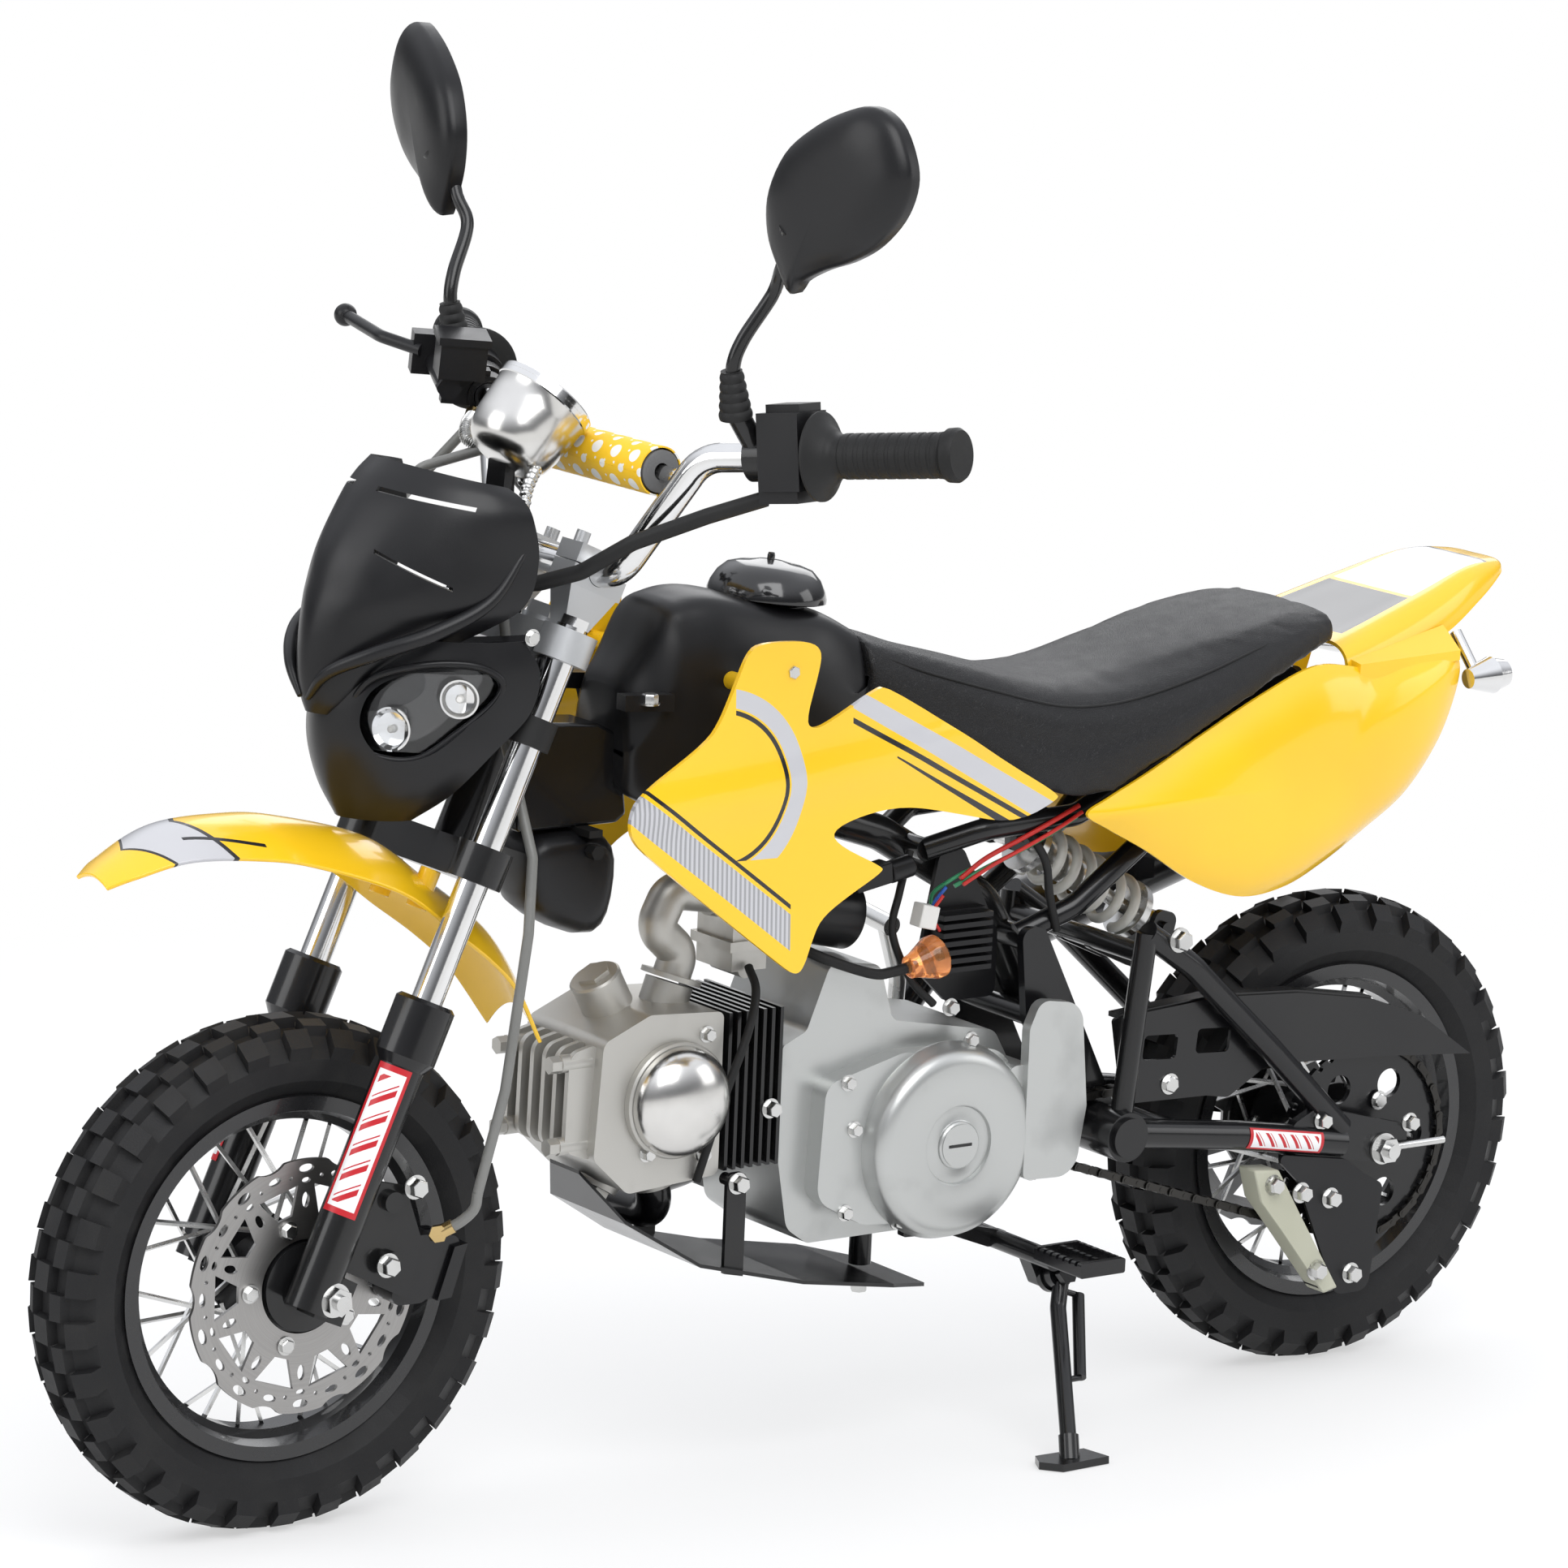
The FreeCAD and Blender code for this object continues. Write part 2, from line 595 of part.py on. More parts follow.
def handlebar():
    """Bent 22 mm bar with a welded crossbar, and the foam pad round the crossbar."""
    left = list(BAR_ROUTE)
    points = [(x, -y, z) for x, y, z in reversed(left)] + left
    right_end, left_end = crossbar_ends()
    add("handlebar", fuse([tube(points, mm("bar_radius"), 36), rod(right_end, left_end, mm("brace_radius"))]))
    pad = doc.addObject("Part::Cut", "crossbar_pad")
    pad.Label = "crossbar_pad"
    pad.Base = doc.addObject("Part::Cylinder", "pad_foam")
    pad.Tool = doc.addObject("Part::Cylinder", "pad_bore")
    pad.Base.setExpression("Radius", "sizes.pad_radius")
    pad.Tool.setExpression("Radius", "sizes.brace_radius + sizes.seat_gap")
    for cylinder in (pad.Base, pad.Tool):
        cylinder.setExpression("Height", "2 * sizes.pad_half")
    middle = Vector(left_end[0], -mm("pad_half"), left_end[2])
    pad.Placement = BIKE * Placement(middle, Rotation(Vector(1, 0, 0), -90))
    pieces.append(pad)


def grips():
    """Rubber grips with a bell at each end, closed over both bar ends."""
    length, radius = mm("grip_length"), mm("grip_radius")
    start, along = bar_spot(LEFT, length - 4)
    bore = mm("bar_radius") + mm("seat_gap")
    grip = turned([(bore, 0), (33, 0), (33, 4), (radius + 4, 12), (radius, 20), (radius, length - 16),
                   (radius + 4, length - 8), (radius + 2, length), (0.01, length), (0.01, length - 3),
                   (bore, length - 3)])
    grip.Placement = Placement(start, Rotation(Vector(0, 0, 1), along))
    grip = compound([grip])
    add("grips", compound([grip.Solids[0], mirror(grip).Solids[0]]))


def bar_ring(side, from_end, width, radius):
    """A ring clamped round the bar, and the hole through it."""
    point, direction = bar_spot(side, from_end)
    ring = Part.makeCylinder(radius, width, point, direction)
    hole = Part.makeCylinder(mm("bar_radius") + mm("seat_gap"), 100, point - direction * 40, direction)
    return ring, hole


def square_to_bar(shape, side, from_end):
    """Place a block drawn with Z along the bar and X ahead of it."""
    point, direction = bar_spot(side, from_end)
    ahead = Vector(1, 0, 0)
    ahead = (ahead - direction * ahead.dot(direction)).normalize()
    across = direction.cross(ahead)
    shape.Placement = Placement(point, Rotation(ahead, across, direction, "ZXY"))
    return shape


def bar_controls():
    """Switch box on the left; throttle, brake master cylinder and its lever on the right."""
    flange = mm("grip_length") - 4
    ring, hole = bar_ring(LEFT, flange + 38, 37, 18)
    case = square_to_bar(fuse([box((-20, -33, 0), (24, 24, 34)), box((-16, -39, 4), (16, -32, 32)),
                               box((-12, 23, -2), (20, 33, 30))]), LEFT, flange + 38)
    add("switch_box", fuse([ring, case]).cut(hole))

    ring, hole = bar_ring(RIGHT, flange + 81, 18, 16)
    block = square_to_bar(fuse([
        box((8, 18, -26), (44, 46, 8)), box((6, 45, -28), (46, 51, 10)), box((0, -8, 2), (36, 20, 14)),
        rod((34, 10, -14), (34, 10, 56), 9), hex_bar((34, 10, -14), (0, 0, -1), 17, 8),
        box((30, 0, 54), (54, 32, 72))]), RIGHT, flange + 81)
    throttle, hole2 = bar_ring(RIGHT, flange + 27, 26, 20)
    lever = fuse([tube(LEVER_ROUTE, 5, 16), Part.makeSphere(9, Vector(*LEVER_ROUTE[-1]))])
    link = square_to_bar(box((14, -6, 2), (26, 8, 62)), RIGHT, flange + 81)
    throttle_link = square_to_bar(box((12, -6, 54), (24, 8, 74)), RIGHT, flange + 81)
    parts = fuse([ring, block, throttle, lever, link, throttle_link]).cut(hole).cut(hole2)
    add("brake_master", parts.cut(bar_ring(RIGHT, mm("grip_length") + 51, 20, 17)[0]))


# x, y, z of the brake lever from its pivot to its ball
LEVER_ROUTE = ((748, -222, 842), (764, -256, 849), (750, -330, 855))


# outwards and up of the mirror housing's edge, from its middle
MIRROR_EDGE = ((-77, -39), (-78, -10), (-60, 21), (-29, 42), (5, 56), (36, 62), (62, 52), (78, 30), (82, 9), (71, -15),
               (50, -29), (21, -39), (-6, -50), (-29, -57), (-50, -68), (-62, -70))
MIRROR_MIDDLE, MIRROR_TURN, MIRROR_WIDTH = (719, 272, 1024), 13, 0.83


def mirrors():
    """Mirrors on bent stems that stand on clamps beside the controls."""
    at = mm("grip_length") + 51
    ring, hole = bar_ring(LEFT, at, 16, 16)
    base, direction = bar_spot(LEFT, at - 8)
    foot = base + Vector(26, 0, 36)
    stem = tube([tuple(foot), tuple(foot + Vector(8, 2, 36)), (722, 204, 944), (724, 222, 972)], 5, 14)
    boss = Part.makeCylinder(7, (foot - base).Length, base, foot - base)
    boot = Part.makeCone(12, 8, 34, foot - Vector(0, 0, 6), Vector(0.2, 0.05, 1))
    one = fuse([fuse([ring, boss]).cut(hole), boot, stem, mirror_head()])
    add("mirrors", compound([one, mirror(one)]))


def mirror_head():
    """Left mirror housing: a domed teardrop whose glass faces the rider."""
    turn = math.radians(MIRROR_TURN)
    back, out = Vector(math.cos(turn), math.sin(turn), 0), Vector(-math.sin(turn), math.cos(turn), 0)
    middle, depth = Vector(*MIRROR_MIDDLE), mm("mirror_depth")
    # share of the depth forward of the middle and scale of the edge there
    sections = [[tuple(middle + back * (depth * share) + out * (a * size * MIRROR_WIDTH) + Vector(0, 0, b * size))
                 for a, b in MIRROR_EDGE] for share, size in ((-0.5, 0.97), (-0.1, 1), (0.3, 0.9), (0.6, 0.6))]
    return loft(sections)


def speedometer():
    """Chrome cup with a dial, on a bracket that stands on the upper clamp's nose."""
    top = mm("upper_clamp_at") + mm("upper_clamp_height") + mm("seat_gap")
    bracket = slab(((13, top), (31, top), (31, 548), (66, 596), (74, 620), (66, 622), (60, 598), (27, 550),
                    (27, top + 3), (13, top + 3)), -12, 12)
    bracket.Placement = BIKE.inverse() * FORK
    cup = turned([(0.01, -60), (26, -58), (36, -46), (38, -6), (39.3, -4), (39.3, 4), (36, 4), (36, 1), (0.01, 1)])
    cup.Placement = Placement(Vector(781, 0, 837.5), Rotation(Vector(0, 0, 1), Vector(-0.68, 0, 0.73)))
    add("speedometer", fuse([cup, bracket]))


def plan_curve(row, inset):
    """Six points of the mask at one level, from right to left round the nose; its sides may droop."""
    z, nose, edge, half, droop = row
    waist = (nose + edge) / 2 + (nose - edge) * 0.22 - inset * 0.6
    side = half * 0.72 - inset * 0.8
    left = [(nose - inset, half * 0.18), (waist, side), (edge, half - inset)]
    level = [(x, y, z - droop * (nose - x) / (nose - edge)) for x, y in left]
    return [(x, -y, low) for x, y, low in reversed(level)] + level


# z, x at the nose, x at the side edge, half width, droop of the side edge, for the upper shield
MASK_UPPER = ((797, 918, 858, 72, 15), (768, 944, 847, 86, 5), (735, 964, 842, 88, 0), (705, 973, 852, 87, 0),
              (684, 978, 872, 70, 0), (660, 982, 925, 45, 0), (636, 982, 962, 24, 0), (620, 978, 966, 12, 0))
# the same for the chin round the lamps
MASK_CHIN = ((672, 946, 850, 86, 0), (650, 960, 838, 90, 0), (620, 968, 848, 88, 0), (592, 968, 876, 82, 0),
             (562, 960, 892, 60, 0), (538, 948, 908, 28, 0))
# x, z, corner radius of an eye opening seen from the side
EYE = ((958, 607, 6), (943, 582, 6), (900, 610, 10), (875, 630, 8), (871, 643, 4), (880, 651, 4), (936, 649, 20),
       (956, 630, 10))


def headlight():
    """Black mask with two eye openings, and the lamp behind it strapped to the fork legs."""
    thick = 5
    def band(rows):
        return loft([plan_curve(row, 0) + list(reversed(plan_curve(row, thick))) for row in rows])
    eyes = [slab(EYE, 12, 110), slab(EYE, -110, -12)]
    chin = band(MASK_CHIN).cut(fuse(eyes))
    rib = box((944, -7, 628), (977.5, 7, 660))
    mask = fuse([band(MASK_UPPER), chin, rib])
    add("headlight_mask", mask)
    lamp = loft([plan_curve((z, nose, edge + 4, half - 1, 0), thick + 0.8) for z, nose, edge, half, _ in MASK_CHIN[1:4]])
    straps = []
    for side in (LEFT, RIGHT):
        y, lead = side * mm("fork_half"), mm("fork_lead")
        ring = rod((lead, y, 430), (lead, y, 452), mm("stanchion_radius") + 5)
        arm = box((lead + 8, y - 6, 434), (lead + 46, y + 6, 448))
        hole = rod((lead, y, 420), (lead, y, 460), mm("stanchion_radius") + mm("seat_gap"))
        strap = fuse([ring, arm]).cut(hole)
        strap.Placement = BIKE.inverse() * FORK
        straps.append(strap)
    add("headlight", fuse([lamp] + straps).cut(mask))


def front_fender():
    """High front fender with an arched section that follows the tyre from above."""
    # x, z at the ridge, half width, side drop
    rows = ((1160, 512, 24, 6), (1102, 543, 46, 18), (1005, 541, 60, 26), (930, 521, 61, 32), (880, 486, 58, 34),
            (817, 436, 50, 34), (787, 378, 38, 24))
    thick = 3.5
    sections = []
    for x, z, half, drop in rows:
        outer = [(x, -half, z - drop), (x, -half * 0.62, z - drop * 0.36), (x, -half * 0.2, z), (x, half * 0.2, z),
                 (x, half * 0.62, z - drop * 0.36), (x, half, z - drop)]
        inner = [(x, y * 0.94, zz - thick) for _, y, zz in reversed(outer)]
        sections.append(outer + inner)
    shell = loft(sections)
    posts = [rod(fork_point(14, side * 26, mm("lower_clamp_at") - mm("seat_gap")),
                 fork_point(14, side * 26, mm("lower_clamp_at") - 12), 8) for side in (LEFT, RIGHT)]
    add("front_fender", fuse([shell] + posts))


def front_caliper():
    """Two-piston caliper that straddles the disc behind the left leg, on a steel bracket."""
    seat, thick = mm("disc_seat_half"), mm("disc_thickness")
    middle = seat + thick / 2
    slot = thick / 2 + 2.5
    y_leg = mm("fork_half")
    outer = slab(((-88, 20, 8), (-58, 8, 8), (-52, 62, 8), (-84, 74, 10)), middle + slot, y_leg - 1)
    inner = slab(((-88, 20, 8), (-62, 10, 8), (-56, 60, 8), (-84, 74, 10)), middle - slot - 9, middle - slot)
    bridge = slab(((-112, 30), (-101, 24), (-98, 66), (-108, 72)), middle - slot - 9, middle + slot + 22)
    backs = slab(((-108, 28, 6), (-80, 16, 6), (-76, 68, 6), (-104, 76, 8)), middle + slot, middle + slot + 18)
    backs_in = slab(((-108, 28, 6), (-80, 18, 6), (-76, 66, 6), (-104, 76, 8)), middle - slot - 9, middle - slot)
    bracket = slab(((-70, 18, 5), (-4, 22, 4), (-4, 92, 6), (-30, 96, 6), (-62, 62, 8)), y_leg - 3, y_leg + 3)
    bolts = [rod((x, y_leg + 3, z), (x, y_leg + 9, z), 8) for x, z in ((-40, 40), (-22, 82))]
    caliper = fuse([outer, inner, bridge, backs, backs_in, bracket] + bolts)
    leg = rod((mm("fork_lead"), y_leg, -20), (mm("fork_lead"), y_leg, 140), mm("slider_radius") + mm("seat_gap"))
    lug = box((-15.3, y_leg - 12.3, -17.3), (mm("fork_lead"), y_leg + 12.3, 17.3))
    add("front_caliper", caliper.cut(leg).cut(lug), FORK)


# x, y, z of the front brake hose's route, from the caliper up behind the mask to the master cylinder
HOSE_ROUTE = ((878, 92, 262), (862, 100, 340), (848, 103, 458), (838, 90, 512), (837, 66, 556), (842, 50, 600),
              (835, 44, 652), (836, 32, 704), (814, 24, 745), (789, -8, 768), (796, -52, 794), (832, -88, 776),
              (824, -128, 745), (772, -176, 754), (752, -149, 792))
# x, y, z of the wiring loom's route, from the switch box along the bar and behind the mask
LOOM_ROUTE = ((716, 196, 789), (742, 160, 772), (778, 118, 748), (800, 84, 722), (826, 52, 708), (850, 40, 722))


def held_cables():
    """Brake hose and wiring loom, both held along their whole length."""
    add("brake_hose", tube(HOSE_ROUTE, 4, 15))
    add("wiring_loom", tube(LOOM_ROUTE, 6, 26))


# Chassis, drawn in the bike frame

def steer_point(along):
    """A point on the steering axis, from its distance along the fork."""
    rake = math.radians(mm("rake"))
    return (mm("wheelbase") - mm("steer_offset") * math.cos(rake) - along * math.sin(rake), 0,
            mm("tyre_radius") - mm("steer_offset") * math.sin(rake) + along * math.cos(rake))


HEAD_LOW = mm("lower_clamp_at") + mm("lower_clamp_height") + 0.5
HEAD_HIGH = mm("upper_clamp_at") - 0.5
# x, half width and z of one side of the frame, from the backbone's end to the seat's rear
SEAT_RAIL = ((432, 30, 470), (390, 50, 486), (300, 50, 490), (85, 50, 584))


def frame():
    """Backbone from the head tube, pivot plates, seat rails and struts, welded in one piece."""
    radius, small = mm("frame_tube_radius"), 9
    low, high = steer_point(HEAD_LOW), steer_point(HEAD_HIGH)
    spine_start = steer_point((HEAD_LOW + HEAD_HIGH) / 2 + 10)
    pivot = (mm("pivot_x"), mm("pivot_z"))
    shapes = [rod(low, high, mm("head_tube_radius")),
              tube([spine_start, (640, 0, 540), (455, 0, 480), (352, 0, 420), (302, 0, 330)], radius, 60),
              rod((steer_point(HEAD_LOW + 16)), (690, 0, 546), 10)]
    for side in (LEFT, RIGHT):
        y = side * 52
        shapes.append(tube([(x, side * half, z) for x, half, z in SEAT_RAIL], small, 30))
        shapes.append(tube([(345, side * 40, 396), (300, y, 416), (235, y, 462), (160, y, 548)], small, 40))
        plate = slab(((302, 350, 8), (330, 404, 10), (352, 404, 10), (344, 330, 20), (pivot[0] + 24, pivot[1] - 10, 16),
                      (pivot[0] - 20, pivot[1] - 22, 18), (pivot[0] - 22, pivot[1] + 16, 18)),
                     y - 4 if side == LEFT else y - 4, y + 4)
        shapes.append(plate)
    shapes.append(rod((336, -56, 392), (336, 56, 392), 10))
    shapes.append(rod((330, -56, 330), (330, 56, 330), 9))
    shapes.append(rod((432, -32, 470), (432, 32, 470), small))
    shapes.append(rod((85, -50, 584), (85, 50, 584), small))
    shapes.append(rod((332, -50, 490), (332, 50, 490), small))
    shapes.append(slab(((316, 458, 6), (340, 458, 6), (343, 492, 4), (322, 496, 4)), -20, 20))
    frame_body = fuse(shapes)
    stem_bore = rod(steer_point(HEAD_LOW - 5), steer_point(HEAD_HIGH + 5), mm("stem_radius") + mm("seat_gap"))
    pivot_bore = rod((pivot[0], -70, pivot[1]), (pivot[0], 70, pivot[1]), 8.3)
    shock_slot = box((300, -13, 450), (350, 13, 480.3))
    shock_bolt = rod((327, -24, 469), (327, 24, 469), mm("shock_bolt_radius"))
    add("frame", fuse([frame_body.cut(fuse([stem_bore, pivot_bore, shock_slot])), shock_bolt]))


def swingarm():
    """Trussed swingarm with its pivot bolt: lower tubes, bent upper tubes and axle plates."""
    radius, half = mm("swing_tube_radius"), mm("swing_half")
    pivot = (mm("pivot_x"), mm("pivot_z"))
    axle_z = mm("tyre_radius")
    shapes = []
    for side in (LEFT, RIGHT):
        y = side * half
        shapes.append(tube([(pivot[0], y, pivot[1]), (150, y, 222), (42, y, 204)], radius, 200))
        shapes.append(tube([(253, y, 398), (205, y, 366), (120, y, 290), (42, y, 216)], radius - 2, 80))
        shapes.append(rod((253, y, 398), (pivot[0] - 4, y, pivot[1]), radius - 3))
        shapes.append(rod((pivot[0], side * 56.5, pivot[1]), (pivot[0], side * (half + 17), pivot[1]), 20))
        shapes.append(slab(((-26, axle_z - 17, 8), (-26, axle_z + 17, 8), (70, axle_z + 42, 10), (96, axle_z + 30, 10),
                            (96, axle_z + 6, 8)), y - 4, y + 4))
    shapes.append(rod((252, -half, 380), (252, half, 380), 8))
    shapes.append(rod((218, -half, 232), (218, half, 232), 11))
    for y in (-21, 15):
        shapes.append(slab(((174, 366, 8), (168, 392, 8), (188, 397, 8), (200, 369, 3), (253, 386, 4), (259, 373, 4),
                            (212, 352, 8)), y, y + 6))
    arm = fuse(shapes)
    caps = [rod((pivot[0], side * (half + 16), pivot[1]), (pivot[0], side * (half + 21), pivot[1]), 16)
            for side in (LEFT, RIGHT)]
    bolt = rod((pivot[0], -half - 20, pivot[1]), (pivot[0], half + 20, pivot[1]), mm("pivot_bolt_radius"))
    shock_bolt = rod((182, -26, 382), (182, 26, 382), mm("shock_bolt_radius"))
    add("swingarm", fuse([arm.cut(rod((0, -half - 6, axle_z), (0, half + 6, axle_z), mm("axle_radius") + 0.1)),
                          bolt, shock_bolt] + caps))


def rear_axle():
    """Rear axle with spacers, heads outside the axle plates and chain adjusters behind."""
    axle_z, half = mm("tyre_radius"), mm("swing_half")
    out = half + 4.3
    shaft = rod((0, -out - 16, axle_z), (0, out + 16, axle_z), mm("axle_radius"))
    shapes = [shaft]
    for side, inner in ((LEFT, mm("chain_line") + 2), (RIGHT, mm("disc_seat_half") + 8.5)):
        shapes.append(hex_bar((0, side * out, axle_z), (0, side, 0), 19, 11))
        shapes.append(rod((0, side * out, axle_z), (0, side * (out + 2.5), axle_z), 13))
        shapes.append(rod((0, side * inner, axle_z), (0, side * (half - 4.3), axle_z), 9))
        shapes.append(rod((-62, side * (out + 3.3), axle_z + 1), (-10, side * (out + 3.3), axle_z + 1), 3))
    add("rear_axle", fuse(shapes))


def shock():
    """Rear shock: damper body with eyes and spring seats, and the coil as its own piece."""
    top, low = Vector(327, 0, 469), Vector(182, 0, 382)
    along = (low - top).normalize()
    length = (low - top).Length
    coil_start, coil_length, wire, coil_r = 26, length - 54, 4, 20
    body = [rod(tuple(top - Vector(0, 12, 0)), tuple(top + Vector(0, 12, 0)), 11),
            rod(tuple(low - Vector(0, 14.6, 0)), tuple(low + Vector(0, 14.6, 0)), 11),
            rod(tuple(top), tuple(low), 6), rod(tuple(top + along * 20), tuple(top + along * 92), 13),
            rod(tuple(top + along * (coil_start - 7)), tuple(top + along * (coil_start - 0.3)), 24),
            rod(tuple(low - along * 27.7), tuple(low - along * 21), 24)]
    damper = fuse(body)
    bolt_holes = [rod((p.x, -20, p.z), (p.x, 20, p.z), 5) for p in (top, low)]
    add("shock_damper", damper.cut(fuse(bolt_holes)))
    turns = 6.0
    helix = Part.makeHelix((coil_length - 2 * wire) / turns, coil_length - 2 * wire, coil_r)
    section = Part.Wire([Part.makeCircle(wire, Vector(coil_r, 0, 0), Vector(0, 1, 0))])
    coil = Part.Wire(helix.Edges).makePipeShell([section], True, True)
    coil.Placement = Placement(top + along * (coil_start + wire), Rotation(Vector(0, 0, 1), along))
    add("shock_spring", coil)


def engine():
    """Horizontal single: crankcase, round magneto cover, sprocket cover, finned cylinder and head."""
    case = slab(((570, 238, 6), (560, 184, 16), (540, 170, 10), (398, 170, 10), (346, 200, 20), (331, 262, 16),
                 (366, 322, 14), (466, 340, 10), (480, 386, 12), (527, 393, 12), (548, 340, 8), (570, 330, 4)), -66, 44)
    case = fuse([case, rod((470, -66, 250), (470, -84, 250), 62), rod((360, -66, 250), (360, -80, 250), 34)])
    cover = fuse([slab(((545, 208, 20), (500, 184, 20), (425, 178, 40), (352, 200, 40), (340, 262, 40), (372, 312, 30),
                        (468, 318, 20), (540, 300, 16)), 43, 62),
                  Part.makeCone(74, 66, 20, Vector(425, 60, 244), Vector(0, 1, 0))])
    cover = cover.cut(Part.makeCylinder(30, 3, Vector(425, 77.5, 244), Vector(0, 1, 0)))
    centre_cap = Part.makeCylinder(18, 6, Vector(425, 76, 244), Vector(0, 1, 0))
    sprocket_cover = slab(((360, 330, 16), (360, 208, 6), (309, 206, 20), (300, 262, 10), (309, 346, 20),
                           (350, 352, 12)), 72, 82)
    neck = slab(((374, 300, 8), (374, 226, 8), (350, 226, 4), (350, 300, 4)), 40, 76)
    add("engine_case", fuse([case, cover, centre_cap, sprocket_cover, neck]))
    axis_z = 302
    barrel = [rod((570.3, 0, axis_z), (632, 0, axis_z), 44)]
    for k in range(7):
        x = 576 + 8 * k
        barrel.append(slab(((x, axis_z - 62, 0), (x + 3, axis_z - 62, 0), (x + 3, axis_z + 62, 0), (x, axis_z + 62, 0)),
                           -52, 52))
    add("cylinder", fuse(barrel))
    head = [slab(((632.3, 238, 6), (632.3, 366, 6), (700, 370, 14), (742, 352, 10), (748, 262, 10), (716, 232, 10)),
                 -52, 52),
            rod((676, 52, 302), (676, 62, 302), 41), rod((704, 0, 366), (716, 0, 388), 20),
            rod((702, 0, 239), (710, 0, 225), 17), hex_bar((716, 0, 388), (12, 0, 22), 24, 8),
            hex_bar((710, 0, 225), (14, 0, -22), 22, 5), rod((655, 0, 360), (648, 0, 380), 19),
            rod((664, 0, 244), (658, 0, 222), 19)]
    for k in range(6):
        y = -43 + 16 * k
        head.append(slab(((740, 258, 6), (740, 350, 6), (766, 344, 12), (768, 268, 12)), y, y + 5))
    for y in (-36, 36):
        for z in (272, 336):
            head.append(rod((745, y, z), (772, y, z), 7))
            head.append(hex_bar((772, y, z), (1, 0, 0), 12, 9))
    dome = Part.makeSphere(62, Vector(676, 22, 302)).common(rod((676, 61, 302), (676, 100, 302), 35))
    add("cylinder_head", fuse(head + [dome]))


def intake():
    """Cast elbow from the head to the carburettor, the carburettor and its air filter."""
    elbow = tube([(646.5, 0, 384.5), (640, 0, 402), (664, 0, 424), (650, 0, 452), (612, 0, 446)], 15, 14)
    flange = rod((647.3, 0, 382.2), (646, 0, 386), 24)
    body = [rod((613.5, 0, 446), (560, 0, 434), 17), box((575, -24, 388), (607, 24, 432)),
            rod((590, 0, 440), (592, 0, 474), 15), box((571, -27, 404), (611, 27, 412)),
            rod((591, -20, 388), (591, 20, 388), 7)]
    add("carburettor", fuse([elbow, flange] + body))
    add("air_filter", fuse([rod((559.3, 0, 433.8), (543, 0, 430.2), 21), rod((545, 0, 431), (484, 0, 417), 27)]))


def exhaust():
    """Header under the head, a pipe along the right side and a round muffler."""
    pipe = tube([(657.9, 0, 221.7), (651, 0, 196.6), (650, -80, 192), (560, -106, 196), (400, -114, 232),
                 (300, -140, 320), (250, -140, 349)], 14, 22)
    start, end = Vector(252, -140, 348), Vector(-40, -140, 432)
    along = (end - start).normalize()
    shell = fuse([Part.makeCone(18, 31, 34, start, along),
                  Part.makeCylinder(31, (end - start).Length - 60, start + along * 34, along),
                  Part.makeCone(31, 20, 20, end - along * 26, along),
                  Part.makeCylinder(12, 24, end - along * 10, along)])
    tip = Part.makeCylinder(9, 20, end - along * 4, along)
    # low and high corners of the bent hanger between the muffler and the seat rail
    hanger = [box(*corners) for corners in (((90, -113, 388), (116, -109, 416)), ((90, -113, 412), (116, -59.3, 416)),
                                            ((90, -63.3, 412), (116, -59.3, 584)))]
    add("exhaust", fuse([pipe, shell] + hanger).cut(tip))


def skid_plate():
    """Bent sheet under the engine, with two straps in front and a post behind."""
    # x, z of the sheet and its half width
    rows = ((739, 243, 20), (716, 208, 52), (655, 170, 66), (560, 146, 70), (470, 131, 66), (422, 120, 42))
    sections = [[(x, -half, z), (x, half, z), (x, half, z + 3), (x, -half, z + 3)] for x, z, half in rows]
    sheet_metal = loft(sections)
    straps = [slab(((612, 157, 0), (630, 161, 0), (630, 240, 6), (612, 240, 6)), side * 60 - 2, side * 60 + 2)
              for side in (LEFT, RIGHT)]
    bolts = [rod((621, min(side * 45, side * 58), 232), (621, max(side * 45, side * 58), 232), 5)
             for side in (LEFT, RIGHT)]
    post = rod((455, 0, 133), (455, 0, 169.7), 9)
    add("skid_plate", fuse([sheet_metal] + straps + bolts + [post]))


def chain_loop(offset):
    """Points of the chain's loop round both sprockets, moved outwards by an offset that waves."""
    rear, front = Vector(0, 0, mm("tyre_radius")), Vector(mm("drive_x"), 0, mm("drive_z"))
    big, small = mm("sprocket_radius"), mm("drive_radius")
    between = front - rear
    tilt = math.atan2(between.z, between.x)
    open_angle = math.acos((big - small) / between.Length)
    run = math.sqrt(between.Length ** 2 - (big - small) ** 2)
    pieces_of_loop = (("arc", rear, big, tilt + open_angle, tilt + 2 * math.pi - open_angle),
                      ("run", rear, big, tilt - open_angle, run),
                      ("arc", front, small, tilt - open_angle, tilt + open_angle),
                      ("run", front, small, tilt + open_angle, run))
    total = big * (2 * math.pi - 2 * open_angle) + small * 2 * open_angle + 2 * run
    count = 2 * round(total / (4 * mm("chain_pitch")))
    points = []
    for k in range(2 * count // 2 * 2):
        along = total * k / (2 * count // 2 * 2)
        reach = offset(k)
        for kind, centre, radius, first, last in pieces_of_loop:
            length = radius * (last - first) if kind == "arc" else last
            if along > length:
                along -= length
                continue
            if kind == "arc":
                angle, shift = first + along / radius, 0
            else:
                angle, shift = first, along
            out = Vector(math.cos(angle), 0, math.sin(angle))
            ahead = Vector(-math.sin(angle), 0, math.cos(angle))
            points.append(centre + out * (radius + reach) + ahead * shift)
            break
    return points


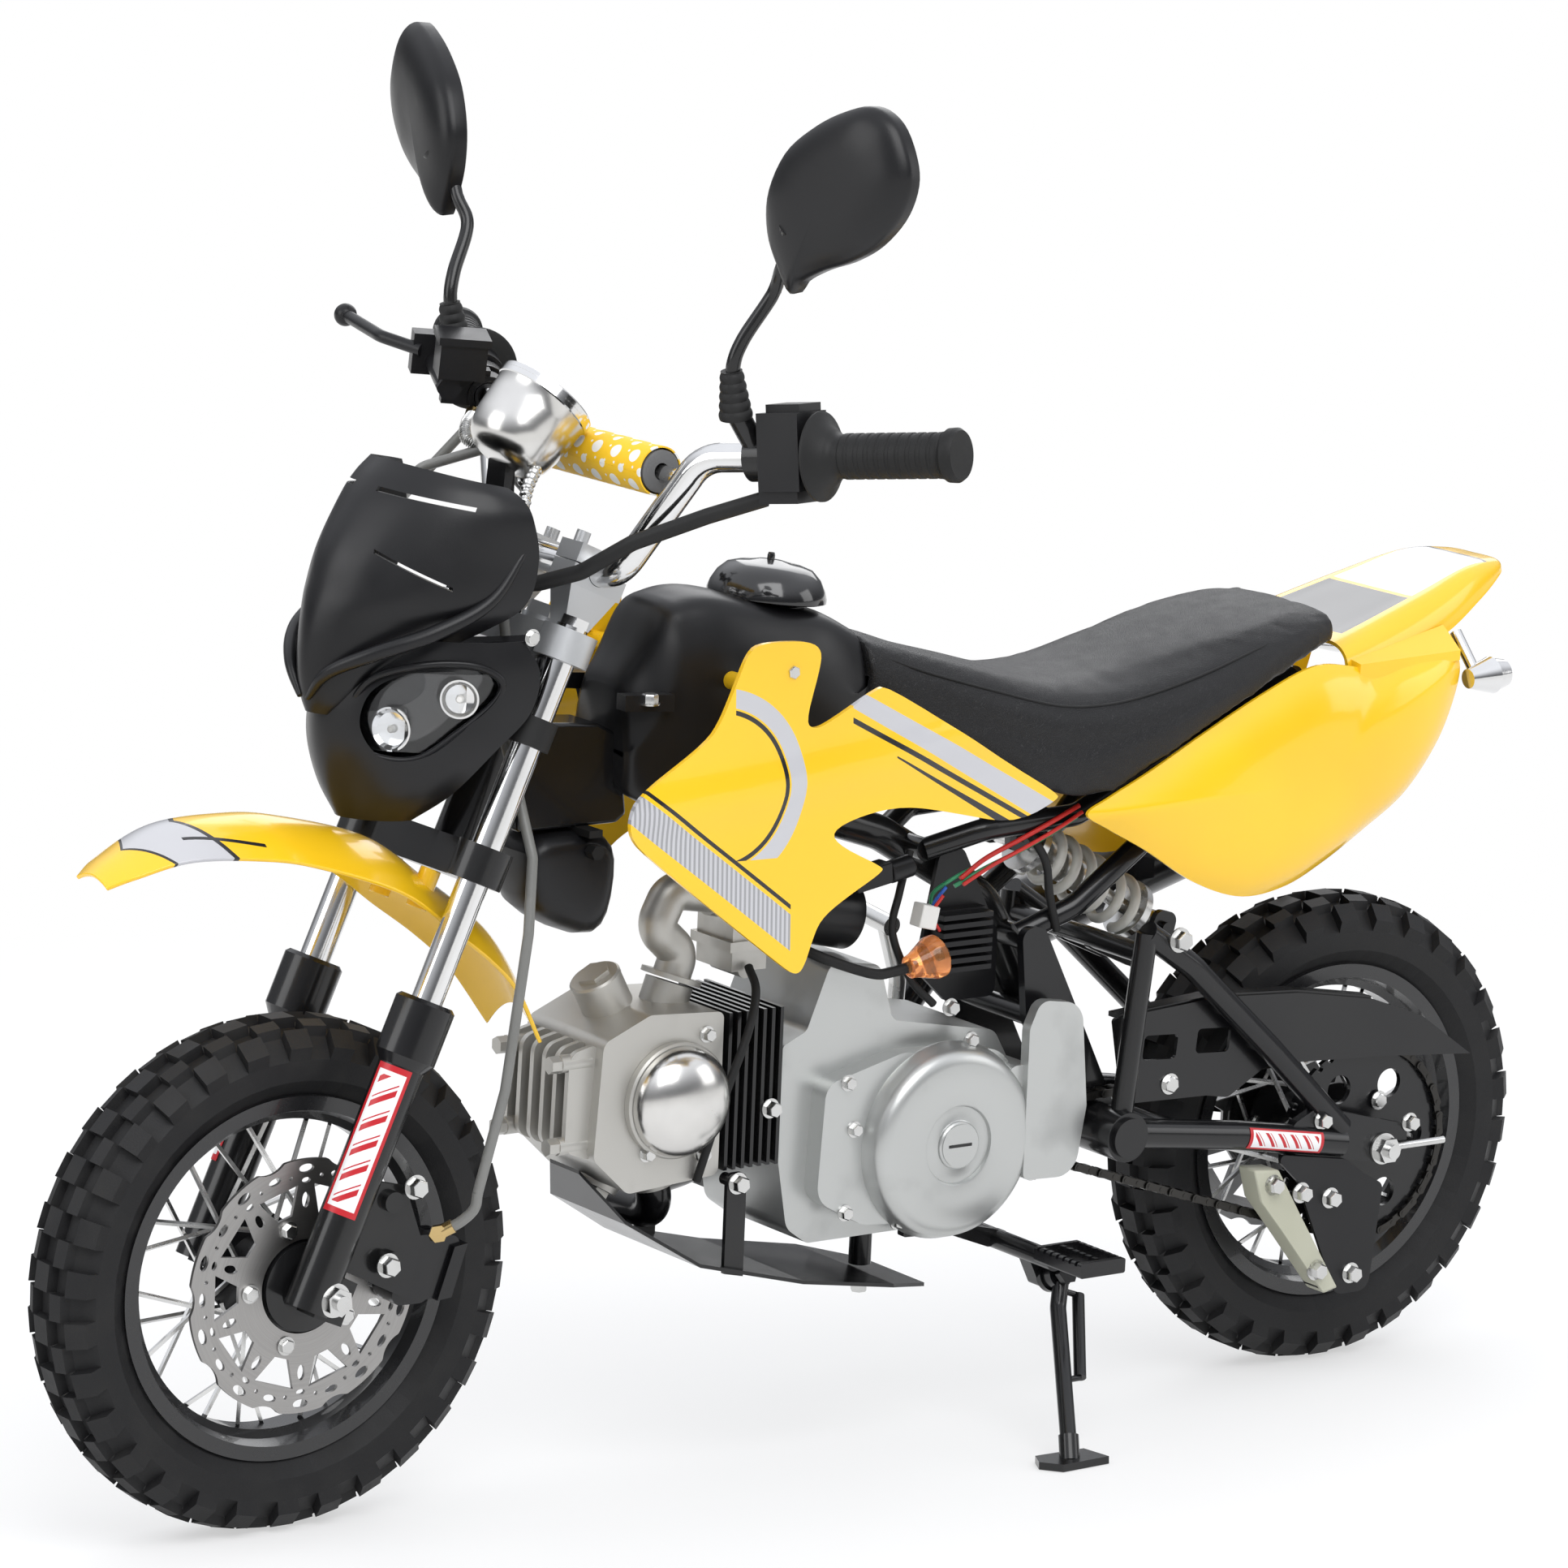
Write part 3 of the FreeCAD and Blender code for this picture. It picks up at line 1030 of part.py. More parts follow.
def chain():
    """Roller chain as one loop whose edges step in and out with its outer and inner links."""
    line = mm("chain_line")
    outer = [(p.x, p.z) for p in chain_loop(lambda k: 5.4 if k % 2 else 3.6)]
    inner = [(p.x, p.z) for p in chain_loop(lambda k: -4.6 if k % 2 else -2.8)]
    band = slab(outer, line + 2.2, line + 5.2).cut(slab(inner, line, line + 6))
    add("chain", band)


def chain_guard():
    """Black plate over the chain's top run, with two windows and a pointed tail."""
    plate = slab(((271, 327, 3), (165, 334, 60), (81, 329, 60), (3, 316, 40), (-50, 297, 30), (-105, 259, 0),
                  (-9, 267, 20), (110, 273, 20), (150, 250, 10), (172, 254, 6), (250, 256, 3), (262, 280, 10)), 71, 74)
    windows = [slab(((x, 290, 4), (x - 34, 288, 4), (x - 36, 308, 4), (x - 2, 310, 4)), 70, 75) for x in (240, 186)]
    flange = slab(((262, 329, 0), (165, 336, 60), (81, 331, 60), (3, 318, 0), (3, 314, 0), (81, 327, 60),
                   (165, 332, 60), (262, 325, 0)), 56, 71.5)
    # bosses that meet the swingarm's upper tube
    bosses = [rod((x, 73, z), (x, 77.7, z), 7) for x, z in ((124, 293.5), (160, 325.8))]
    add("chain_guard", fuse([fuse([plate, flange]).cut(fuse(windows))] + bosses))


def chain_guide():
    """Black plate under the swingarm with a cream slider that the chain runs through."""
    plate = slab(((118, 204, 4), (40, 191, 6), (20, 177, 6), (0, 166, 8), (10, 78, 12), (44, 78, 12), (90, 178, 10)),
                 93, 96)
    slider = slab(((136, 192, 8), (112, 190, 8), (88, 150, 10), (44, 84, 6), (58, 82, 8), (104, 140, 14),
                   (128, 168, 10)), 76, 94)
    add("chain_guide", fuse([plate, slider]))


def rear_caliper():
    """Caliper on the right, over the rear disc, on a bracket from the axle."""
    seat, thick = mm("disc_seat_half"), mm("disc_thickness")
    middle, slot = -(seat + thick / 2), thick / 2 + 2.5
    axle_z = mm("tyre_radius")
    outline_rows = ((58, axle_z + 52, 8), (98, axle_z + 40, 8), (112, axle_z + 66, 8), (74, axle_z + 90, 8))
    halves = [slab(outline_rows, middle + slot, middle + slot + 8), slab(outline_rows, middle - slot - 22, middle - slot),
              slab(((92, axle_z + 58, 0), (110, axle_z + 52, 0), (116, axle_z + 68, 0), (78, axle_z + 92, 0),
                    (74, axle_z + 82, 0)), middle - slot - 22, middle + slot + 8)]
    bracket = slab(((-16, axle_z - 14, 8), (-16, axle_z + 14, 8), (60, axle_z + 66, 8), (84, axle_z + 50, 8),
                    (16, axle_z - 14, 8)), -75.4, -71)
    bolts = [rod((x, -75, z), (x, middle - slot - 20, z), 6) for x, z in ((66, axle_z + 57), (76, axle_z + 62))]
    body = fuse(halves + [bracket] + bolts)
    bore = rod((0, -90, axle_z), (0, -60, axle_z), 9 + mm("seat_gap"))
    add("rear_caliper", body.cut(bore))


def footpegs():
    """Peg bar under the engine with a serrated folding peg on each side and the stand's bracket."""
    bar_z, bar_x = 150, 352
    shapes = [rod((bar_x, -118, bar_z), (bar_x, 118, bar_z), 8)]
    for side in (LEFT, RIGHT):
        low, high = sorted((side * 112, side * 172))
        tray = slab(((bar_x - 27, bar_z + 1, 2), (bar_x - 27, bar_z + 13, 2), (bar_x + 17, bar_z + 13, 2),
                     (bar_x + 17, bar_z + 1, 2)), low, high)
        hollow = [box((bar_x - 22, side * 142 - 24, bar_z), (bar_x - 7, side * 142 + 24, bar_z + 20)),
                  box((bar_x - 3, side * 142 - 24, bar_z), (bar_x + 12, side * 142 + 24, bar_z + 20))]
        notches = [box((bar_x - 30, low + 4 + 8 * k, bar_z + 10), (bar_x + 20, low + 7 + 8 * k, bar_z + 14))
                   for k in range(7)]
        shapes.append(tray.cut(fuse(hollow + notches)))
        shapes.append(slab(((344, 146, 3), (344, 156, 3), (400, 169.7, 2), (446, 169.7, 2), (446, 163, 2), (404, 161, 3),
                            (362, 145, 3)), side * 40 - 4, side * 40 + 4))
    add("footpegs", fuse(shapes + [stand_bracket()]))


def stand_axis():
    """Where the side stand's bolt starts, and its direction outwards."""
    tilt = math.radians(mm("stand_axis_tilt"))
    return (Vector(mm("stand_pivot_x"), mm("stand_pivot_y"), mm("stand_pivot_z")),
            Vector(0, math.cos(tilt), math.sin(tilt)))


def stand_bracket():
    """Bracket under the peg bar that carries the side stand's bolt."""
    pivot, axis = stand_axis()
    return fuse([Part.makeCylinder(6, 29, pivot - axis * 3, axis), hex_bar(pivot + axis * 20.4, axis, 16, 6),
                 Part.makeCylinder(13, 5.7, pivot, axis),
                 slab(((pivot.x - 9, pivot.z - 8, 4), (pivot.x + 9, pivot.z - 8, 4), (360, 150, 3), (344, 154, 3)),
                      pivot.y - 14, pivot.y + 1)])


def side_stand():
    """Side stand with its foot plate and return spring, swung down onto the ground."""
    pivot, axis = stand_axis()
    foot_x, foot_y = mm("stand_foot_x"), mm("stand_foot_y")
    lean = math.radians(LEAN)
    foot_z = (foot_y * math.sin(lean) - GROUND_LIFT) / math.cos(lean)
    foot = Vector(foot_x, foot_y, foot_z)
    eye = Part.makeCylinder(11, 10, pivot + axis * 6, axis)
    start = pivot + axis * 13.2 + Vector(0, axis.z, -axis.y) * 8
    knee = start + Vector(7, 7, -16)
    ankle = foot + Vector(-4, -8, 16)
    leg = tube([tuple(start), tuple(knee), tuple(ankle)], 6.5, 16)
    hole = Part.makeCylinder(6.3, 18, pivot + axis * 5, axis)
    up, across = Vector(0, -math.sin(lean), math.cos(lean)), Vector(0, math.cos(lean), math.sin(lean))
    sole = Part.makePolygon([foot + Vector(x, 0, 0) + across * y for x, y in
                             ((-26, -16), (20, -18), (30, 0), (20, 18), (-26, 16), (-26, -16))])
    plate = Part.Face(sole).extrude(up * 6)
    ankle_post = Part.makeCylinder(8, 20, foot + up * 3, ankle - foot)
    below = Part.makeBox(200, 200, 60, foot - Vector(100, 100, 60))
    below.rotate(foot, Vector(1, 0, 0), LEAN)
    hook = knee + (ankle - knee) * 0.55
    spring_low, spring_top = hook + Vector(-16, 0, 0), start + Vector(-15, 4, -10)
    spring = Part.makeCylinder(5, (spring_low - spring_top).Length, spring_top, spring_low - spring_top)
    pins = [Part.makeCylinder(2.5, (end - begin).Length, begin, end - begin)
            for begin, end in ((hook, spring_low), (start + Vector(2, 2, -4), spring_top))]
    add("side_stand", fuse([eye, leg, plate, ankle_post, spring] + pins).cut(hole).cut(below))


def seat():
    """Seat: a low crowned cushion that rises at its tail and narrows to the tank."""
    # x, half width, top z, shoulder drop, lower edge z
    rows = ((502.7, 48, 644, 14, 600), (450, 62, 627, 16, 566), (400, 76, 614, 18, 545), (345, 88, 600, 18, 517),
            (304, 94, 598, 18, 515), (262, 97, 603, 18, 532), (210, 98, 615, 18, 559), (150, 94, 629, 14, 586),
            (100, 84, 637, 10, 605), (40, 66, 640, 5, 620))
    sections = []
    for x, half, top, drop, low in rows:
        sections.append([(x, -half, low), (x, -half + 2, top - drop - 8), (x, -half * 0.82, top - drop * 0.45),
                         (x, -half * 0.3, top), (x, half * 0.3, top), (x, half * 0.82, top - drop * 0.45),
                         (x, half - 2, top - drop - 8), (x, half, low)])
    # x and lower end of the rubber feet on the seat rails
    rail = tube(SEAT_RAIL, 9 + mm("seat_gap"), 30)
    feet = [rod((x, 50, z), (x, 50, z + 30), 8).cut(rail) for x, z in ((310, 496), (120, 575))]
    add("seat", fuse([loft(sections)] + feet + [mirror(foot) for foot in feet]))


def tank():
    """Small black tank between the shrouds, and its mushroom cap."""
    # x, half width, top z, low z
    rows = ((676, 40, 652, 600), (650, 52, 680, 582), (600, 58, 672, 566), (540, 56, 666, 566), (503, 44, 648, 602))
    sections = [[(x, -half * 0.8, low), (x, -half, (low + top) / 2), (x, -half * 0.7, top - 6), (x, 0, top),
                 (x, half * 0.7, top - 6), (x, half, (low + top) / 2), (x, half * 0.8, low)] for x, half, top, low in rows]
    cap_place = Placement(Vector(572, 0, 670.5), Rotation(Vector(0, 1, 0), -6))
    neck = Part.makeCylinder(30, 16.1, Vector(0, 0, -16))
    neck.Placement = cap_place
    foot = rod((600, 0, 545.3), (600, 0, 572), 10)
    add("tank", fuse([loft(sections), neck, foot]))
    cap = turned([(0.01, 34), (24, 32), (42, 22), (46, 12), (44, 6), (34, 2), (34, 0.4), (0.01, 0.4)])
    cap.Placement = cap_place
    add("tank_cap", cap)


# x, z, corner radius of the left shroud's edge, seen from the side
SHROUD_EDGE = ((673, 665, 8), (652, 659, 8), (629, 596, 20), (563, 625, 20), (425, 553, 30), (370, 523, 6),
               (422, 508, 20), (477, 523, 20), (539, 538, 14), (585, 532, 20), (612, 519, 8), (554, 488, 4),
               (589, 470, 4), (618, 454, 10), (628, 418, 4), (645, 422, 6), (761, 511, 16), (779, 531, 8),
               (774, 552, 14), (714, 593, 20), (686, 646, 16))


def shrouds():
    """Yellow wings beside the tank, bowed outwards and leaning in at the top."""
    thick, low, height, lean_in = 4, 400, 300, 14
    # x, y of the bow in plan, at the lowest level
    bow = ((340, 112), (600, 143), (800, 126))
    outer = [Vector(x, y, low) for x, y in bow]
    inner = [point - Vector(0, thick, 0) for point in outer]
    ring = Part.Wire([Part.Arc(*outer).toShape(), Part.makeLine(outer[2], inner[2]),
                      Part.Arc(*reversed(inner)).toShape(), Part.makeLine(inner[0], outer[0])])
    wall = Part.Face(ring).extrude(Vector(0, -lean_in, height))
    wing = wall.common(slab(SHROUD_EDGE, 60, 170))
    wing = fuse([wing.Solids[0], rod((600, 58.3, 619), (600, 130, 612), 7)])
    add("shrouds", compound([wing, mirror(wing)]))


def tail():
    """Yellow rear fender: a channel behind the seat with a side plate on each side."""
    # x, half width, top z, side drop
    rows = ((58, 88, 613.5, 24), (20, 84, 624, 30), (-47, 74, 644, 34), (-100, 58, 660, 26), (-136, 40, 662, 12),
            (-148, 26, 659, 5))
    thick = 4
    sections = []
    for x, half, top, drop in rows:
        outer = [(x, -half, top - drop), (x, -half * 0.8, top), (x, half * 0.8, top), (x, half, top - drop)]
        inner = [(x, half - thick, top - drop), (x, half * 0.8 - thick * 0.7, top - thick),
                 (x, -half * 0.8 + thick * 0.7, top - thick), (x, -half + thick, top - drop)]
        sections.append(outer + inner)
    deck = loft(sections)
    side = slab(((321, 501, 4), (286, 476, 20), (164, 421, 30), (86, 439, 50), (-3, 491, 40), (-45, 556, 20),
                 (-55, 606, 8), (56, 590, 8), (100, 600, 8), (150, 582, 20), (210, 554, 20), (262, 528, 20),
                 (304, 510, 10)), 99, 103)
    # x, z of the lips that join the side plates to the deck
    lip = slab(((58, 588, 2), (58, 597, 2), (20, 603, 2), (-47, 617, 2), (-50, 606, 2), (20, 592, 2)), 80, 100)
    tab = slab(((75.7, 578, 2), (75.7, 590, 2), (62, 611, 2), (50, 614, 2), (50, 606, 2)), -20, 20)
    add("rear_fender", fuse([deck, side, mirror(side), lip, mirror(lip), tab]))


def rear_lamps():
    """Small chrome indicators on stalks at the tail."""
    axis = Vector(-1, 0, 0.06)
    shapes = []
    for side in (LEFT, RIGHT):
        centre = Vector(-57, side * 98, 580)
        stalk = rod((-66, side * 69, 612.5), (-67, side * 94, 584), 5)
        shell = Part.makeCone(8, 15, 24, centre, axis)
        lens = Part.makeCone(14, 11, 14, centre + axis * 23.5, axis)
        shapes.append(fuse([stalk, shell, lens]))
    add("rear_lamps", compound(shapes))


def electrics():
    """Airbox plate with the finned regulator, the connector block and the clear fuel filter."""
    plate = slab(((412, 464, 10), (390, 468, 10), (352, 396, 10), (352, 344, 8), (400, 344, 8), (430, 372, 8)), 20, 24)
    block = box((372, 24, 372), (420, 34, 420))
    fins = [box((372, 34, 372 + 7 * k), (420, 44, 376 + 7 * k)) for k in range(7)]
    boss = rod((400, 14.3, 448), (400, 21, 448), 6)
    add("regulator", fuse([plate, block, boss] + fins))
    hose = tube([(463, 58, 384.5), (500, 60, 384), (540, 56, 398), (560, 26, 408), (570.7, 26, 408)], 4, 10)
    add("fuel_filter", fuse([Part.makeCone(9, 17, 26, Vector(466, 58, 384), Vector(-1, 0, 0.25)),
                             Part.makeCone(17, 15, 6, Vector(441.2, 58, 390.2), Vector(-1, 0, 0.25)), hose]))


def kick_starter():
    """Kick starter on the right of the crankcase, folded against it."""
    shaft = rod((360, -80.3, 250), (360, -108, 250), 8)
    arm = tube([(360, -100, 250), (352, -104, 330), (360, -112, 372)], 7, 24)
    pedal = rod((360, -104, 374), (360, -160, 380), 8)
    add("kick_starter", fuse([shaft, arm, pedal]))


def brake_pedal():
    """Rear brake pedal on the right, pivoted on the peg bar."""
    lever = tube([(356, -98, 160), (380, -98, 170), (470, -110, 162), (500, -126, 172)], 6, 20)
    pad = box((486, -150, 170), (514, -120, 178))
    boss = rod((352, -91, 150), (352, -105, 150), 13).cut(rod((352, -80, 150), (352, -110, 150), 8.3))
    bar_hole = rod((352, -80, 150), (352, -118, 150), 8.3)
    add("brake_pedal", fuse([lever, pad, boss]).cut(bar_hole))


def build():
    """Every sub-part in order, from the wheels up."""
    for make in (front_wheel, rear_wheel, fork_tubes, fork_sliders, front_axle, steering_clamps, handlebar, 
                 grips, bar_controls, mirrors, speedometer, headlight, front_fender, front_caliper, held_cables, frame, swingarm, rear_axle, shock, engine, intake, exhaust,
                 skid_plate, chain, chain_guard, chain_guide, rear_caliper, footpegs, side_stand, seat, tank, shrouds,
                 tail, rear_lamps, electrics, kick_starter, brake_pedal):
        make()


def check_and_export():
    """Stop on a failed or invalid object, then write each sub-part's STEP file."""
    doc.recompute()
    for item in doc.Objects:
        if "Invalid" in item.State or "Error" in item.State:
            raise RuntimeError("%s failed to build" % item.Label)
    for piece in pieces:
        if piece.Shape.isNull() or not piece.Shape.isValid():
            raise RuntimeError("%s has no valid shape" % piece.Label)
    for piece in pieces:
        piece.Shape.exportStep("parts/%s.step" % piece.Label)


build()
check_and_export()
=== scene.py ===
import math

import bmesh
import bpy
import numpy as np
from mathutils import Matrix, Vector


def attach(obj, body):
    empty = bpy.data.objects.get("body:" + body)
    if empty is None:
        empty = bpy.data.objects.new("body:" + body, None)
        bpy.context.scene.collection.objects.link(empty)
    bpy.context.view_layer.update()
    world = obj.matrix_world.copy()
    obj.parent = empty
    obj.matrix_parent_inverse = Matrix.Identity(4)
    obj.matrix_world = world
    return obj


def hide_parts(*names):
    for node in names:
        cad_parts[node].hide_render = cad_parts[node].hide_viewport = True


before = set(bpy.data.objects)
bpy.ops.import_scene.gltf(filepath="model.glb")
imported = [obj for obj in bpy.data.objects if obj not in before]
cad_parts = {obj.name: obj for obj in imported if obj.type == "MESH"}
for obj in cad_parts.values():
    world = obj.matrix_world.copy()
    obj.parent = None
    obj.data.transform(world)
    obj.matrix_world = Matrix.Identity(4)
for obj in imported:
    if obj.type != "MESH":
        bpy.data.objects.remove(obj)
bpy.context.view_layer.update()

bl_info = {
    "name": "Small dirt bike",
    "version": (1, 0, 0),
    "blender": (4, 5, 0),
    "location": "3D View > Sidebar > Dirt bike",
    "description": "Skins, finishes and small parts round the packed frame of a small dirt bike",
    "category": "Add Mesh",
}

# bike coordinates are mm on the upright bike: X forward from the rear axle, Y to the left, Z up
LEAN = math.radians(4)
DATUM = (500.0, 71.92, -0.628)
RAKE = math.radians(23.43)
WHEELBASE, TYRE_RADIUS = 1000.0, 195.0
# the left leg's place in fork coordinates, and half the distance between the legs
FORK_LEAD, FORK_HALF = 11.0, 78.0
# bends and end of the handlebar's left half
BAR = np.array(((775.5, 80, 722.5), (735, 142, 812), (645, 330, 837)))
GRIP = 117.0
LEFT, UP = np.array((0, 1.0, 0)), np.array((0, 0, 1.0))
SHARP_EDGE = math.radians(38)
LOOKS = {}


# Places and surfaces

def stand(points):
    """Bike coordinates to scene metres: shift to the datum, turned by the lean about X."""
    p = np.asarray(points, float)
    c, s = math.cos(LEAN), math.sin(LEAN)
    return np.stack([p[..., 0] - DATUM[0], p[..., 1] * c + p[..., 2] * s - DATUM[1],
                     p[..., 2] * c - p[..., 1] * s - DATUM[2]], -1) / 1000


def fork_place(points):
    """Fork coordinates (ahead, across, along the legs from the axle) to bike coordinates, by the rake."""
    p = np.asarray(points, float)
    c, s = math.cos(RAKE), math.sin(RAKE)
    return np.stack([WHEELBASE + p[..., 0] * c - p[..., 2] * s, p[..., 1],
                     TYRE_RADIUS + p[..., 0] * s + p[..., 2] * c], -1)


ALONG_LEGS = fork_place((0, 0, 1)) - fork_place((0, 0, 0))


def unit(v):
    """Vectors divided by their lengths."""
    v = np.asarray(v, float)
    return v / np.maximum(np.linalg.norm(v, axis=-1, keepdims=True), 1e-9)


def turn_to(axis):
    """A matrix whose third column is the axis and whose others are square to it."""
    w = unit(axis)
    u = unit(np.cross(w, (0.31, 0.93, 0.2)))
    return np.stack([u, np.cross(w, u), w], -1)


def smooth(points, count, axis=0, closed=False):
    """Points along one axis of an array resampled on a Catmull-Rom curve, the same number on each span."""
    p = np.moveaxis(np.asarray(points, float), axis, 0)
    n = len(p)
    t = np.linspace(0, n if closed else n - 1, count, endpoint=not closed)
    i = np.minimum(t.astype(int), n - 1 if closed else n - 2)
    f = (t - i).reshape((-1,) + (1,) * (p.ndim - 1))
    if closed:
        a, b, c, d = (p[(i + k) % n] for k in (-1, 0, 1, 2))
    else:
        q = np.concatenate([2 * p[:1] - p[1:2], p, 2 * p[-1:] - p[-2:-1]])
        a, b, c, d = (q[i + k] for k in (0, 1, 2, 3))
    out = b + f * ((c - a) / 2 + f * ((2 * a - 5 * b + 4 * c - d) / 2 + f * (3 * b - a - 3 * c + d) / 2))
    return np.moveaxis(out, 0, axis)


def grid_faces(rows, columns, close_rows=False, close_columns=False):
    """Quads between neighbours on a grid of rows and columns, row by row."""
    r = np.arange(rows if close_rows else rows - 1)[:, None]
    c = np.arange(columns if close_columns else columns - 1)[None, :]
    r2, c2 = (r + 1) % rows, (c + 1) % columns
    quads = np.stack([r * columns + c, r * columns + c2, r2 * columns + c2, r2 * columns + c], -1)
    return quads.reshape(-1, 4)


def grid_uv(rows, columns):
    """A grid's UV: columns from 0 to 1 as u, rows from 0 to 1 as v."""
    u, v = np.meshgrid(np.linspace(0, 1, columns), np.linspace(0, 1, rows))
    return np.stack([u, v], -1).reshape(-1, 2)


class Shell:
    """Vertices and quads of a piece, gathered from surfaces before they become one mesh."""

    def __init__(self):
        self.points, self.quads, self.uvs, self.count = [], [], [], 0

    def joined(self):
        """All points, quads and UVs so far, as one array each."""
        return np.concatenate(self.points), np.concatenate(self.quads), np.concatenate(self.uvs)

    def add(self, points, quads, uv=None):
        """Takes points and the quads between them, and their UVs if the look needs any."""
        points = np.asarray(points, float).reshape(-1, 3)
        self.points.append(points)
        self.quads.append(np.asarray(quads, int).reshape(-1, 4) + self.count)
        self.uvs.append(np.zeros((len(points), 2)) if uv is None else np.asarray(uv, float).reshape(-1, 2))
        self.count += len(points)
        return self

    def sheet(self, points, close_rows=False, close_columns=False, caps=False):
        """A grid of points [rows, columns, 3]; caps close the first and last row onto their middles."""
        p = np.asarray(points, float)
        if caps:
            p = np.concatenate([np.repeat(p[:1].mean(1, keepdims=True), p.shape[1], 1), p,
                                np.repeat(p[-1:].mean(1, keepdims=True), p.shape[1], 1)])
        rows, columns = p.shape[:2]
        return self.add(p, grid_faces(rows, columns, close_rows, close_columns), grid_uv(rows, columns))

    def walled(self, points, wall):
        """A sheet with thickness: the grid and a copy moved along its normals, joined round the border."""
        p = np.asarray(points, float)
        rows, columns = p.shape[:2]
        normal = unit(np.cross(np.gradient(p, axis=1), np.gradient(p, axis=0)))
        index = np.arange(rows * columns).reshape(rows, columns)
        border = np.concatenate([index[0, :-1], index[:-1, -1], index[-1, :0:-1], index[:0:-1, 0]])
        after = np.roll(border, -1)
        strip = np.stack([border, after, after + rows * columns, border + rows * columns], -1)
        faces, uv = grid_faces(rows, columns), grid_uv(rows, columns)
        return self.add(np.concatenate([p, p - normal * wall]),
                        np.concatenate([faces, faces[:, ::-1] + rows * columns, strip]),
                        np.concatenate([uv, uv]))

    def mirrored(self):
        """The shell and its copy on the other side of the bike."""
        p, q, uv = self.joined()
        return self.add(p * (1, -1, 1), q[:, ::-1], uv)

    def turned(self, profile, centre, axis, sides=32):
        """A (radius, height) profile turned about an axis through a centre: r cos a, r sin a, h."""
        profile = np.asarray(profile, float)
        u, v, w = turn_to(axis).T
        a = np.linspace(0, 2 * math.pi, sides, endpoint=False)
        ring = np.cos(a)[:, None] * u + np.sin(a)[:, None] * v
        p = np.asarray(centre, float) + profile[:, None, :1] * ring[None] + profile[:, None, 1:] * w
        return self.sheet(p, close_columns=True, caps=True)

    def rod(self, radius, low, high, centre, axis, sides=32):
        """A plain round bar between two heights on an axis."""
        return self.turned([(0, low), (radius, low), (radius, high), (0, high)], centre, axis, sides)

    def collar(self, inner, outer, half, centre, axis, sides=32):
        """A ring with a square section, as long to each side of its centre."""
        return self.turned([(inner, -half), (outer, -half), (outer, half), (inner, half), (inner, -half)],
                           centre, axis, sides)

    def swept(self, path, section, closed=False, up=(0.13, 0.21, 0.97)):
        """A section (radius, or across and upward offsets) carried along a path, square to its tangent."""
        path = np.asarray(path, float)
        if closed:
            tangent = unit(np.roll(path, -1, 0) - np.roll(path, 1, 0))
        else:
            tangent = unit(np.gradient(path, axis=0))
        side = unit(np.cross(tangent, up))
        over = np.cross(side, tangent)
        if np.ndim(section) < 2:
            a = np.linspace(0, 2 * math.pi, 12, endpoint=False)
            radius = np.broadcast_to(np.asarray(section, float), (len(path),))[:, None, None]
            offset = radius * (np.cos(a)[None, :, None] * side[:, None]
                               + np.sin(a)[None, :, None] * over[:, None])
        else:
            s = np.asarray(section, float)
            offset = s[None, :, :1] * side[:, None] + s[None, :, 1:] * over[:, None]
        return self.sheet(path[:, None] + offset, close_rows=closed, close_columns=True, caps=not closed)

    def repeated(self, shape, places, turns):
        """Copies of another shell: each point times a turn matrix, plus a place, for all copies at once."""
        p, q, uv = shape.joined()
        places, turns = np.asarray(places, float), np.asarray(turns, float)
        copies = np.einsum("kij,nj->kni", turns, p) + places[:, None]
        quads = q[None] + (np.arange(len(places)) * len(p))[:, None, None]
        return self.add(copies, quads, np.tile(uv, (len(places), 1)))

    def mesh_object(self, name):
        """The shell, given in bike coordinates, as a mesh in the scene, its doubled points merged."""
        p, q, uv = self.joined()
        mesh = bpy.data.meshes.new(name)
        mesh.from_pydata(stand(p).tolist(), [], q.tolist())
        loops = np.empty(len(mesh.loops), np.int32)
        mesh.loops.foreach_get("vertex_index", loops)
        layer = mesh.uv_layers.new(name="UVMap")
        layer.data.foreach_set("uv", uv[loops].astype(np.float32).ravel())
        obj = bpy.data.objects.new(name, mesh)
        bpy.context.collection.objects.link(obj)
        clean(obj)
        return obj

    def finish(self, name, body, slot, look, replaces=(), levels=0, cuts=(), within=False, bevel=0):
        """Makes the piece, riding on a body; cuts are objects that open it, or that it is kept within."""
        obj = self.mesh_object(name)
        mesh = obj.data
        if levels:
            step = obj.modifiers.new("Smooth", "SUBSURF")
            step.levels = step.render_levels = levels
        for cutter in cuts:
            step = obj.modifiers.new("Opening", "BOOLEAN")
            step.operation = "INTERSECT" if within else "DIFFERENCE"
            step.solver, step.object = "EXACT", cutter
        if bevel:
            step = obj.modifiers.new("Edges", "BEVEL")
            step.width, step.segments, step.limit_method = bevel, 2, "ANGLE"
        shade_smooth(mesh)
        mesh.materials.append(LOOKS[look])
        if cuts:
            settle(obj)
            for cutter in cuts:
                bpy.data.objects.remove(cutter, do_unlink=True)
        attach(obj, body)
        if replaces:
            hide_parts(*replaces)
        return obj


def shade_smooth(mesh):
    """Rounds a mesh's shading, but for its sharp edges."""
    mesh.polygons.foreach_set("use_smooth", np.ones(len(mesh.polygons), bool))
    mesh.set_sharp_from_angle(angle=SHARP_EDGE)


def settle(obj):
    """Turns a piece's modifiers into its mesh."""
    made = bpy.data.meshes.new_from_object(obj.evaluated_get(bpy.context.evaluated_depsgraph_get()))
    obj.modifiers.clear()
    obj.data = made
    shade_smooth(made)


